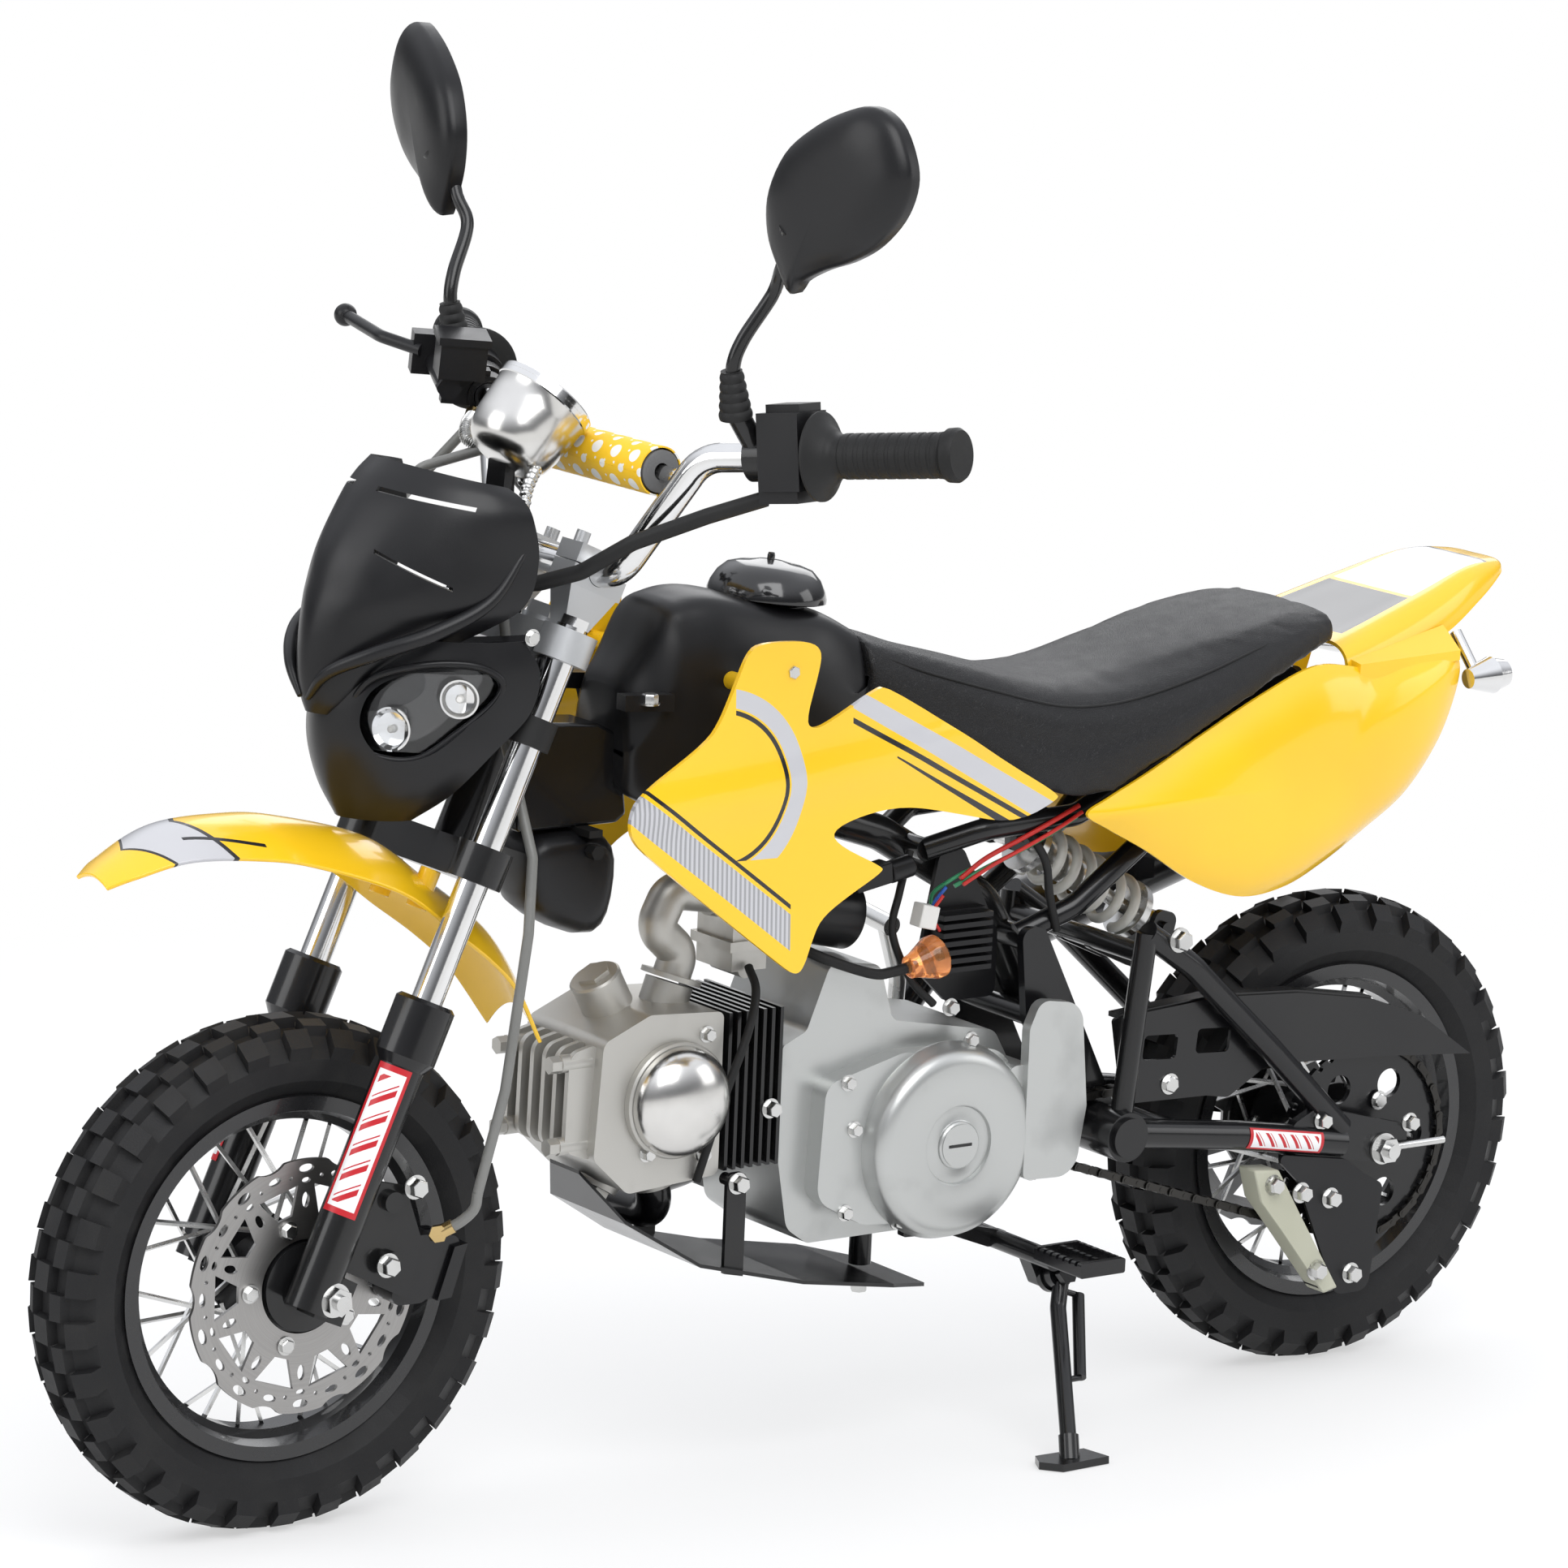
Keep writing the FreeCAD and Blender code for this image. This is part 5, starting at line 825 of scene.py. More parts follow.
def swell(scene, obj, cap):
    """Foam that pushes its cover out: a cloth run under pressure from an even remesh, each point moved by
    cap at most. What lies under the seat's lower line stays where it is."""
    step = obj.modifiers.new("Remesh", "REMESH")
    step.mode, step.voxel_size = "VOXEL", 0.005
    settle(obj)
    mesh = obj.data
    before = np.empty((len(mesh.vertices), 3), np.float32)
    mesh.vertices.foreach_get("co", before.ravel())
    held = obj.vertex_groups.new(name="held")
    low = before[:, 2] < np.interp(before[:, 0], (-0.46, -0.25, -0.16, 0.0), (0.618, 0.558, 0.528, 0.60))
    held.add(np.flatnonzero(low).tolist(), 1.0, "REPLACE")
    cloth = obj.modifiers.new("Cloth", "CLOTH")
    cloth.settings.use_pressure, cloth.settings.uniform_pressure_force = True, 4.0
    cloth.settings.effector_weights.gravity = 0.0
    cloth.settings.vertex_group_mass = "held"
    last = 20
    cloth.point_cache.frame_start, cloth.point_cache.frame_end = 1, last
    for number in range(1, last + 1):
        scene.frame_set(number)
    shape = obj.evaluated_get(bpy.context.evaluated_depsgraph_get()).data
    after = np.empty_like(before)
    shape.vertices.foreach_get("co", after.ravel())
    obj.modifiers.clear()
    obj.vertex_groups.clear()
    scene.frame_set(1)
    move = after - before
    size = np.linalg.norm(move, axis=1, keepdims=True)
    move *= np.minimum(1, cap / np.maximum(size, 1e-9))
    mesh.vertices.foreach_set("co", (before + move).ravel())
    mesh.update()
    step = obj.modifiers.new("Smooth", "SUBSURF")
    step.levels = step.render_levels = 1


class BIKE_OT_tank(bpy.types.Operator):
    """Tank, smooth between its sections, with its neck"""
    bl_idname, bl_label = "bike.tank", "Tank"

    def execute(self, context):
        # x, half width, top, low
        rows = ((722, 34, 618, 544), (717, 41, 628, 538), (704, 46, 646, 532), (686, 50, 676, 528),
                (668, 52, 684, 526), (640, 56, 686, 526), (600, 58, 678, 528), (545, 56, 667, 542),
                (512, 50, 652, 580), (503, 44, 646, 600))

        def ring(row):
            x, half, top, low = row
            roof = max(top - 84, low + 4)
            return both_sides(x, [(0, top), (half * 0.42, top - 1), (half * 0.68, top - 7),
                                  (half * 0.86, top - 26), (half * 0.97, top - 50),
                                  (half, (low + top) / 2 - 10), (half * 0.98, low + 12), (half * 0.88, low),
                                  (half * 0.5, low + 2), (half * 0.46, roof), (half * 0.2, roof + 3)])
        skin = Shell().sheet(sections(rows, ring, 60, 60), close_columns=True, caps=True)
        neck, slope = (572, 0, 670.5), math.radians(6)
        axis = (-math.sin(slope), 0, math.cos(slope))
        cap = Shell().turned([(0, 33), (9, 32.6), (17, 30.6), (24, 30), (33, 27.5), (40, 21), (44.5, 13),
                              (46.4, 7), (46.4, 4), (44, 3), (34, 1.6), (0, 1.4)], neck, axis, 72)
        cap.turned([(0, 38), (2.4, 38), (3, 36), (3, 32), (0, 31)], neck, axis, 16)
        cap.finish("vented_cap", "chassis", "gloss_black", "gloss", ["tank_cap"])
        skin.turned([(0, -22), (36, -22), (33, -8), (31, -3), (31, 0), (0, 0)], neck, axis, 40)
        for side in (1, -1):
            skin.add([(692, side * 40, 604), (738, side * 46, 608), (738, side * 58, 608),
                      (692, side * 56, 604), (692, side * 40, 617), (738, side * 46, 620),
                      (738, side * 58, 620), (692, side * 56, 617)],
                     [(0, 1, 2, 3)[::side], (4, 7, 6, 5)[::side], (0, 4, 5, 1)[::side], (1, 5, 6, 2)[::side],
                      (2, 6, 7, 3)[::side], (3, 7, 4, 0)[::side]])
        skin.finish("tank_shell", "chassis", "black_plastic", "black", ["tank"])
        return {"FINISHED"}


class BIKE_OT_front_boxes(bpy.types.Operator):
    """Folded gusset behind the head tube and the battery box under it"""
    bl_idname, bl_label = "bike.front_boxes", "Gusset and battery box"

    def execute(self, context):
        gusset = prism(((806, 598), (736, 592), (716, 582), (708, 520), (716, 514), (806, 514)), -21, 21)
        gusset.finish("head_gusset", "chassis", "black_metal", "paint", bevel=0.003)
        # share of the half width, x of the back, x of the front, top, low
        rows = ((0, 716, 800, 512, 424), (0.6, 717, 799, 511, 428), (0.9, 722, 795, 506, 436),
                (1.0, 728, 788, 500, 444))
        half_width, left = 33, []
        for share, back, front, top, low in rows:
            ring = ((back, 492), (back + 8, top - 6), (back + 26, top), (front - 6, top), (front, top - 8),
                    (front - 2, low + 34), (front - 12, low + 22), (back + 24, low), (back + 10, low + 6),
                    (back + 3, low + 24))
            left.append(np.array([(x, half_width * share, z) for x, z in ring]))
        rings = [ring * (1, -1, 1) for ring in reversed(left[1:])] + left
        box = Shell().sheet(smooth(rings, 28), close_columns=True, caps=True)
        box.finish("battery_box", "chassis", "black_plastic", "black", levels=1)
        strap = prism(((742, 514.5), (742, 509), (754, 509), (754, 514.5)), -40, 40)
        strap.rod(6, 0, 10, (748, 34, 498), LEFT, 6)
        strap.finish("battery_strap", "chassis", "rubber", "rubber")
        return {"FINISHED"}


class BIKE_OT_engine(bpy.types.Operator):
    """Turned covers of the engine: magneto cover with its cap, polished dome, head ring and plug"""
    bl_idname, bl_label = "bike.engine", "Engine covers"

    def execute(self, context):
        cover = Shell().turned([(79, 0), (79, 3), (77, 6), (76, 12), (74, 17), (70, 20.5), (64, 22),
                                (33, 22.6), (31.5, 22), (30.5, 19.5), (20, 19.3), (19, 20), (19, 22.4),
                                (18, 23.4), (0, 23.6), (0, 0)], (425, 60.5, 244), LEFT, 96)
        cover.turned([(17, 0), (17, 0.6), (0, 0.6), (0, 0)], (425, 84, 244), LEFT, 48)
        cover.finish("magneto_cover", "chassis", "cast_alloy", "case")
        slot = prism(((414, 243), (436, 243), (436, 245.4), (414, 245.4)), 84.4, 84.9)
        slot.finish("cover_slot", "chassis", "steel", "paint")
        t = np.linspace(0, 1, 14) * math.pi / 2
        quarter = np.stack([43 * np.cos(t), 25.5 * np.sin(t)], -1).tolist()
        dome = Shell().turned(quarter + [(0, -2), (43, -2)], (676, 60.4, 302), LEFT, 80)
        dome.finish("polished_dome", "chassis", "chrome", "soft_chrome")
        ring = Shell().turned([(45.5, 0), (45.5, 6), (44, 7.6), (40, 7.6), (40, 0)], (676, 52.2, 302),
                              LEFT, 64)
        ring.turned([(0, 0), (20.6, 0), (20.6, 3), (19, 4.5), (0, 4.5)], (716, 0, 387.6), (12, 0, 22), 40)
        ring.finish("head_ring", "chassis", "cast_alloy", "head")
        return {"FINISHED"}


class BIKE_OT_disc(bpy.types.Operator):
    """Front disc: waved edge, rows of oval holes in its band and slotted arms"""
    bl_idname, bl_label = "bike.disc", "Front disc"

    def execute(self, context):
        bore, edge, near, far = 36, 97, 45, 48
        # the waves are circles about points out past the edge
        waves, centre, dip = 10, 114, 21
        angle = np.linspace(0, 2 * math.pi, 400, endpoint=False)
        step = 2 * math.pi / waves
        off = (angle + step / 2) % step - step / 2
        inside = np.maximum(dip ** 2 - (centre * np.sin(off)) ** 2, 0)
        wave = np.minimum(edge, centre * np.cos(off) - np.sqrt(inside))
        outer = np.where(np.abs(centre * np.sin(off)) < dip, wave, edge)
        rows = [np.stack([WHEELBASE + radius * np.cos(angle), np.full_like(angle, y),
                          TYRE_RADIUS + radius * np.sin(angle)], -1)
                for radius, y in ((bore, near), (outer, near), (outer, far), (bore, far))]
        skin = Shell().sheet(np.stack(rows), close_rows=True, close_columns=True)
        holes = Shell()

        def hole(turn, across, along):
            """A slot right through at a turn round the wheel, from its radial and tangential offsets."""
            c, s = math.cos(turn), math.sin(turn)
            ring = np.stack([WHEELBASE + across * c - along * s, TYRE_RADIUS + across * s + along * c], -1)
            points, quads, uv = prism(ring, near - 5, far + 5).joined()
            holes.add(points, quads)
        # share of a wave, radius, radial half, tangential half
        ovals = ((0.0, 86.5, 2.7, 5.6), (0.5, 90, 3.3, 6.4), (0.5, 81, 2.1, 3.8), (0.5, 66, 6, 3.2),
                 (0.25, 84.5, 1.6, 1.6), (0.75, 84.5, 1.6, 1.6))
        t = np.linspace(0, 2 * math.pi, 16, endpoint=False)
        # the window between two arms, at its narrow and its wide end
        low, high = (radius * np.array((math.cos(a), math.sin(a))) for radius, a in ((56, 0.11), (78, 0.226)))
        for index in range(waves):
            hole(index * step, np.array((low[0], high[0], high[0], low[0])),
                 np.array((-low[1], -high[1], high[1], low[1])))
            for share, radius, deep, wide in ovals:
                hole((index + share) * step, radius + deep * np.cos(t), wide * np.sin(t))
        skin.finish("front_disc_plate", "front_wheel", "steel", "disc_front", ["front_disc"],
                    cuts=[holes.mesh_object("disc_holes")])
        return {"FINISHED"}


class BIKE_OT_fasteners(bpy.types.Operator):
    """Zinc hexagon bolts on washers"""
    bl_idname, bl_label = "bike.fasteners", "Bolts"

    def execute(self, context):
        # place, axis, size across the flats, height
        spots = [(x, 63.2, z, LEFT, 9, 5) for x, z in ((403, 322), (520, 300), (467, 183), (339, 319),
                                                       (337, 207), (518, 196), (512, 262), (340, 262))]
        spots += [(x, 97.2, z, LEFT, 12, 8) for x, z in ((117, 179), (87, 169), (56, 161), (67, 102),
                                                         (30, 95))]
        spots += [(-27, 93.5, 214, LEFT, 11, 7), (211, 75.2, 268, LEFT, 12, 4), (66, 93.5, 226, LEFT, 11, 7),
                  (586, 53.5, 285, LEFT, 11, 8), (621, 63.5, 232, LEFT, 12, 8), (700, 53.2, 262, LEFT, 9, 6),
                  (648, 53.2, 256, LEFT, 9, 6), (648, 53.2, 350, LEFT, 9, 6), (716, 58, 613, UP, 11, 7),
                  (640, 133, 644, LEFT, 9, 4), (228, 99.5, 392, LEFT, 14, 8), (411, 45.4, 345, LEFT, 10, 6),
                  (455, 0, 118, -UP, 12, 8), (571, -20, 396, LEFT, 8, 5)]
        self.place("chassis", "frame_bolts", spots)
        spots = [(931, 89.4, 272, LEFT, 13, 8), (953, 89.4, 215, LEFT, 13, 8), (847, 93.5, 678, LEFT, 9, 3)]
        spots += [(*fork_place((lead, y, 562)), ALONG_LEGS, 12, 8) for y in (34, -34) for lead in (2, -20)]
        self.place("fork", "fork_bolts", spots)
        circle = [(math.cos(a), math.sin(a)) for a in np.arange(5) * math.pi * 0.4]
        self.place("front_wheel", "front_disc_bolts",
                   [(WHEELBASE + 46 * x, 49.4, TYRE_RADIUS + 46 * z, LEFT, 10, 3.4) for x, z in circle])
        circle = [(math.cos(a), math.sin(a)) for a in np.arange(4) * math.pi * 0.5 + 0.4]
        self.place("rear_wheel", "rear_sprocket_bolts",
                   [(36 * x, 69.0, TYRE_RADIUS + 36 * z, LEFT, 11, 3.4) for x, z in circle])
        return {"FINISHED"}

    def place(self, body, name, spots):
        """Puts a head of its size on each point, turned to its axis."""
        shell = Shell()
        for x, y, z, axis, across, height in spots:
            shell.repeated(hexagon_bolt(across, height), np.array([[x, y, z]]), turn_to(axis)[None])
        shell.finish(name, body, "steel", "zinc")


class BIKE_OT_wiring(bpy.types.Operator):
    """Held wires, plugs, the clear fuel filter with its hose, and spring guards on the cables"""
    bl_idname, bl_label = "bike.wiring", "Wiring and filter"

    def execute(self, context):
        axis, start = unit((-1, 0, 0.25)), np.array((466, 58, 384.0))
        bowl = Shell().turned([(0, 0), (5, 0), (9, 3), (10, 8), (16, 22), (17.2, 25), (17.2, 31), (15, 33),
                               (0, 33)], start, axis, 40)
        bowl.finish("filter_bowl", "chassis", "amber_clear", "amber", ["fuel_filter"])
        hose = Shell().swept(smooth([(462, 58, 385), (480, 59, 383), (500, 60, 384), (540, 56, 398),
                                     (560, 30, 408), (570.7, 26, 408)], 60), 4.2)
        hose.turned([(0, -2), (3, -2), (3, 3), (4.4, 3), (4.4, 9), (0, 9)], start + axis * 31, axis, 16)
        hose.finish("fuel_hose", "chassis", "rubber", "rubber", ["fuel_filter"])
        # look, radius, route
        runs = (
            ("red", 2.0, ((420, 62, 452), (396, 62, 466), (360, 60, 478), (330, 61, 490), (306, 61, 500))),
            ("red", 1.6, ((420, 66, 448), (392, 66, 461), (356, 64, 473), (326, 64, 485), (304, 63, 495))),
            ("green", 1.8, ((424, 60, 446), (400, 64, 458), (366, 62, 468), (334, 62, 480), (308, 61, 491))),
            ("green", 1.6, ((430, 40, 420), (436, 48, 438), (428, 58, 450), (410, 60, 458))),
            ("blue", 1.4, ((428, 42, 414), (438, 52, 430), (432, 60, 446))),
            ("red", 1.4, ((426, 46, 408), (440, 54, 424), (436, 62, 440))),
            ("rubber", 3.2, ((446, 30, 470), (462, 40, 440), (470, 44, 410), (452, 46, 372), (430, 48, 350))),
            ("rubber", 3.4, ((352, 50, 486), (338, 62, 460), (330, 60, 430), (318, 56, 400))),
            ("rubber", 3.4, ((655, 56, 236), (640, 66, 300), (618, 64, 350), (602, 50, 378), (594, 28, 392))),
        )
        for index, (look, radius, route) in enumerate(runs):
            wire = Shell().swept(smooth(route, 50), radius)
            slot = "rubber" if look == "rubber" else "amber_clear"
            wire.finish("held_wire_%d" % index, "chassis", slot, look)
        plug = prism(((440, 412), (456, 416), (452, 434), (436, 430)), 46, 60)
        plug.finish("connector", "chassis", "white_spring", "plug", bevel=0.001)
        coil_box = prism(((476, 452), (510, 446), (512, 462), (478, 468)), 34, 52)
        coil_box.rod(9, 0, 22, (476, 43, 458), (-1, 0, 0.2), 24)
        coil_box.finish("ignition_coil", "chassis", "black_plastic", "black", bevel=0.0015)
        ends = Shell()
        ends.swept(smooth([(878, 92, 262), (880, 91, 250), (888, 86, 240), (898, 80, 233)], 24), 4.1)
        ends.swept(smooth([(752, -149, 792), (747, -153, 795), (740, -159, 800)], 12), 4.1)
        ends.finish("hose_ends", "fork", "rubber", "braid")
        fittings = Shell().rod(5.4, 0, 9, (893, 83, 236.5), (0.7, -0.5, -0.5), 24)
        fittings.rod(7, 0, 5, (902, 77, 231), (0.5, 0.8, 0), 6)
        fittings.rod(6, 0, 10, (744, -156, 797), (-0.6, -0.6, 0.5), 6)
        fittings.finish("hose_fittings", "fork", "steel", "brass")
        guards = Shell()
        for route in (((800, -58, 794), (806, -66, 800), (800, -76, 808), (786, -90, 812)),
                      ((790, -12, 774), (800, 20, 790), (824, 44, 776), (836, 58, 744), (838, 62, 716))):
            guards.swept(smooth(route, 260), 4.2 + 0.9 * np.sin(np.linspace(0, 150, 260)))
        guards.finish("spring_guards", "fork", "steel", "zinc")
        slider = prism(((137, 193), (112, 191), (86, 150), (43, 84), (57, 81), (105, 139), (129, 167)),
                       75.6, 97.2)
        slider.finish("guide_slider", "chassis", "white_spring", "cream", bevel=0.0015)
        return {"FINISHED"}


DIAL_CENTRE, DIAL_AXIS = (781, 0, 837.5), (-0.68, 0, 0.73)


class BIKE_OT_speedometer(bpy.types.Operator):
    """Chrome cup of the speedometer on its bracket"""
    bl_idname, bl_label = "bike.speedometer", "Speedometer"

    def execute(self, context):
        cup = Shell().turned([(0, -60), (16, -59.5), (24, -57), (30, -52), (34, -45), (36.4, -34),
                              (37.6, -16), (38, -6), (39.3, -4), (39.6, 0), (39.3, 4), (36, 4), (36, 1),
                              (0, 1)],
                             DIAL_CENTRE, DIAL_AXIS, 96)
        cup.finish("speedometer_cup", "fork", "chrome", "soft_chrome", ["speedometer"])
        # in fork coordinates: ahead of the legs, and along them
        outline = np.array(((13, 521.3), (31, 521.3), (31, 548), (66, 596), (74, 620), (66, 622), (60, 598),
                            (27, 550), (27, 524.3), (13, 524.3)))
        ends = [fork_place(np.stack([outline[:, 0], np.full(len(outline), float(y)), outline[:, 1]], -1))
                for y in (-12, 12)]
        bracket = Shell().sheet(np.stack(ends), close_columns=True, caps=True)
        bracket.finish("speedometer_bracket", "fork", "black_metal", "paint", ["speedometer"])
        return {"FINISHED"}


# x, z of the left wing's edge in side view, one point at each bend
WING_EDGE = ((680, 660), (670, 668), (628, 667), (615, 660), (616, 646), (629, 606), (622, 600), (610, 602),
             (563, 626), (552, 627), (425, 554), (372, 526), (371, 521), (420, 508), (478, 522), (530, 534),
             (570, 532), (604, 522), (598, 510), (556, 490), (554, 486), (586, 471), (612, 456), (620, 440),
             (627, 420), (634, 414), (646, 421), (762, 512), (778, 530), (778, 546), (768, 560), (715, 594),
             (702, 610), (688, 642))


class BIKE_OT_wings(bpy.types.Operator):
    """Printed wings beside the tank: a wall bowed in plan, cut to the wing's edge"""
    bl_idname, bl_label = "bike.wings", "Wings"

    def execute(self, context):
        edge = np.array(WING_EDGE, float)
        corner = np.roll(edge, -1, 0)
        middle = (edge + corner) / 2
        # each corner as a curve from the middle of one side to the middle of the next, in four steps
        t = np.linspace(0, 1, 5)[:-1, None, None]
        rounded = (1 - t) ** 2 * middle + 2 * t * (1 - t) * corner + t ** 2 * np.roll(middle, -1, 0)
        loop = rounded.transpose(1, 0, 2).reshape(-1, 2)
        x, z = np.linspace(356, 792, 88), np.linspace(400, 684, 40)
        bow = 143 - 31 * ((x - 600) / 262) ** 2 * (x < 600) - 19 * ((x - 600) / 200) ** 2 * (x >= 600)
        crease = 3.5 * np.exp(-(((z[:, None] - 552) + (x[None] - 700) * 0.12) / 16) ** 2)
        y = bow[None] - (z[:, None] - 400) * 14 / 300 + crease
        wall = np.stack([np.broadcast_to(x, y.shape), y, np.broadcast_to(z[:, None], y.shape)], -1)
        for side, name in ((1, "wing_left"), (-1, "wing_right")):
            skin = wall * (1, side, 1)
            shape = prism(loop, 60 * side, 176 * side).mesh_object("wing_edge")
            Shell().walled(skin[:, ::side], 4).finish(name, "chassis", "yellow_plastic", "wing", ["shrouds"],
                                                      cuts=[shape], within=True)
        post = Shell().rod(7, 0, 78, (640, 53, 624), LEFT, 24)
        post.turned([(0, 0), (12, 0), (12, 3), (9, 4.5), (0, 4.5)], (640, 129, 642), (0, 1, 0.05), 28)
        post.mirrored().finish("wing_posts", "chassis", "yellow_plastic", "yellow", ["shrouds"])
        return {"FINISHED"}


class BIKE_OT_labels(bpy.types.Operator):
    """Striped labels on the fork's sliders and the swingarm"""
    bl_idname, bl_label = "bike.labels", "Labels"

    def execute(self, context):
        a, h = np.meshgrid(np.linspace(-0.1, 1.5, 12), np.linspace(60, 176, 20))
        radius = 17.75
        leg = fork_place(np.stack([FORK_LEAD + radius * np.cos(a), FORK_HALF + radius * np.sin(a), h], -1))
        self.stick("fork_label", "fork", leg[:, ::-1])
        start, end, radius = np.array((150.0, 88, 222)), np.array((66.0, 88, 208)), 12.3
        way = unit(end - start)
        up = np.cross(LEFT, way)
        a, h = np.meshgrid(np.linspace(-0.75, 0.75, 12), np.linspace(4, 82, 16))
        out = np.cos(a)[..., None] * LEFT + np.sin(a)[..., None] * up
        self.stick("arm_label", "chassis", start + h[..., None] * way + radius * out)
        return {"FINISHED"}

    def stick(self, name, body, points):
        """A label on the left from its grid of points, and its mirror image on the right."""
        for side, where in ((1, "left"), (-1, "right")):
            label = Shell().walled((points * (1, side, 1))[:, ::side], 0.3)
            label.finish("%s_%s" % (name, where), body, "pad_cloth", "label")


class BIKE_OT_fenders(bpy.types.Operator):
    """Front fender, tail deck and the bulged side panels"""
    bl_idname, bl_label = "bike.fenders", "Fenders"

    def execute(self, context):
        # x, ridge, half width, side drop of the front fender
        rows = ((1160, 511, 22, 6), (1140, 524, 33, 10), (1102, 543, 46, 18), (1050, 546, 54, 23),
                (1005, 541, 60, 26), (930, 520, 61, 32), (880, 486, 58, 34), (845, 460, 54, 34),
                (817, 432, 48, 33), (788, 379, 37, 24))
        share = np.linspace(-1, 1, 9)

        def arch(row):
            x, z, half, drop = row
            return np.stack([np.full_like(share, x), share * half, z - drop * np.abs(share) ** 1.8], -1)
        front = Shell().walled(smooth(smooth([arch(row) for row in rows], 41, 1), 90), 3.2)
        for y in (26, -26):
            front.rod(8, -30, 1, fork_place((14, y, 320)), ALONG_LEGS, 20)
        front.finish("front_fender_skin", "fork", "yellow_plastic", "nose", ["front_fender"], bevel=0.0008)
        # x, half width, top, side drop of the tail
        rows = ((60, 88, 614, 24), (20, 84, 625, 30), (-47, 74, 645, 34), (-100, 58, 661, 26),
                (-136, 40, 663, 12), (-148, 26, 659, 5))

        def deck(row):
            x, half, top, drop = row
            side = [(0, top), (half * 0.5, top), (half * 0.78, top - 1), (half * 0.94, top - drop * 0.4),
                    (half, top - drop)]
            return [(x, -y, z) for y, z in reversed(side[1:])] + [(x, y, z) for y, z in side]
        tail = Shell().walled(smooth(smooth([deck(row) for row in rows], 49, 1), 50), 3.5)
        tail.finish("tail_deck", "chassis", "yellow_plastic", "deck", ["rear_fender"], bevel=0.0008)
        # x, z of the side panel's edge
        edge = ((322, 500), (300, 486), (262, 466), (212, 436), (164, 420), (120, 424), (82, 440), (40, 464),
                (0, 490), (-30, 526), (-46, 560), (-52, 590), (-40, 602), (0, 600), (36, 592), (60, 598),
                (100, 601), (150, 583), (210, 555), (262, 529), (300, 512))
        loop = smooth(edge, 140, closed=True)
        share = np.linspace(0, 1, 16)[:, None, None]
        middle = np.array((95, 512))
        flat = middle + (loop[None] - middle) * share
        rise = 14 * (1 - share[..., 0] ** 2.6) - 6 * share[..., 0] ** 8
        outer = np.stack([flat[..., 0], np.broadcast_to(99 + rise, flat.shape[:2]), flat[..., 1]], -1)
        inner = outer[::-1] - (0, 3.0, 0)
        panel = Shell().sheet(np.concatenate([outer, inner]), close_columns=True)
        # the block that joins the panel to the deck above it
        panel.add([(56, 84, 588), (56, 84, 602), (-48, 74, 621), (-48, 74, 600), (56, 97, 584), (56, 97, 600),
                   (-48, 97, 604), (-48, 97, 596)],
                  [(0, 1, 2, 3), (4, 5, 6, 7), (0, 1, 5, 4), (3, 2, 6, 7), (1, 2, 6, 5), (0, 3, 7, 4)])
        panel.mirrored().finish("side_panels", "chassis", "yellow_plastic", "yellow", ["rear_fender"])
        return {"FINISHED"}


# z, x of the nose, x of the side edge, half width, droop of the sides
MASK_UPPER = ((798, 917, 859, 70, 15), (785, 931, 851, 80, 10), (768, 944, 846, 86, 5),
              (735, 964, 842, 88, 0), (705, 974, 850, 87, 0), (686, 979, 872, 72, 0), (666, 982, 908, 52, 0),
              (646, 983, 944, 32, 0), (628, 980, 962, 18, 0), (618, 977, 967, 9, 0))
MASK_CHIN = ((674, 945, 850, 85, 0), (650, 960, 839, 90, 0), (620, 968, 846, 88, 0), (592, 968, 872, 80, 0),
             (562, 960, 892, 60, 0), (538, 948, 908, 30, 0))
# x, z of an eye opening's edge
EYE = ((958, 610), (946, 588), (922, 590), (896, 611), (874, 632), (872, 646), (892, 655), (925, 653),
       (950, 638))


def mask_curve(row, inset=0.0):
    """Eleven points of the mask at one level, from right to left round its nose; its sides may droop."""
    z, nose, edge, half, droop = row
    t = np.linspace(-1, 1, 11)
    reach = np.abs(t) ** 1.55
    x = nose - inset - (nose - edge) * reach
    y = np.sign(t) * (half - inset) * (1 - (1 - np.abs(t)) ** 1.7)
    return np.stack([x, y, z - droop * reach], -1)


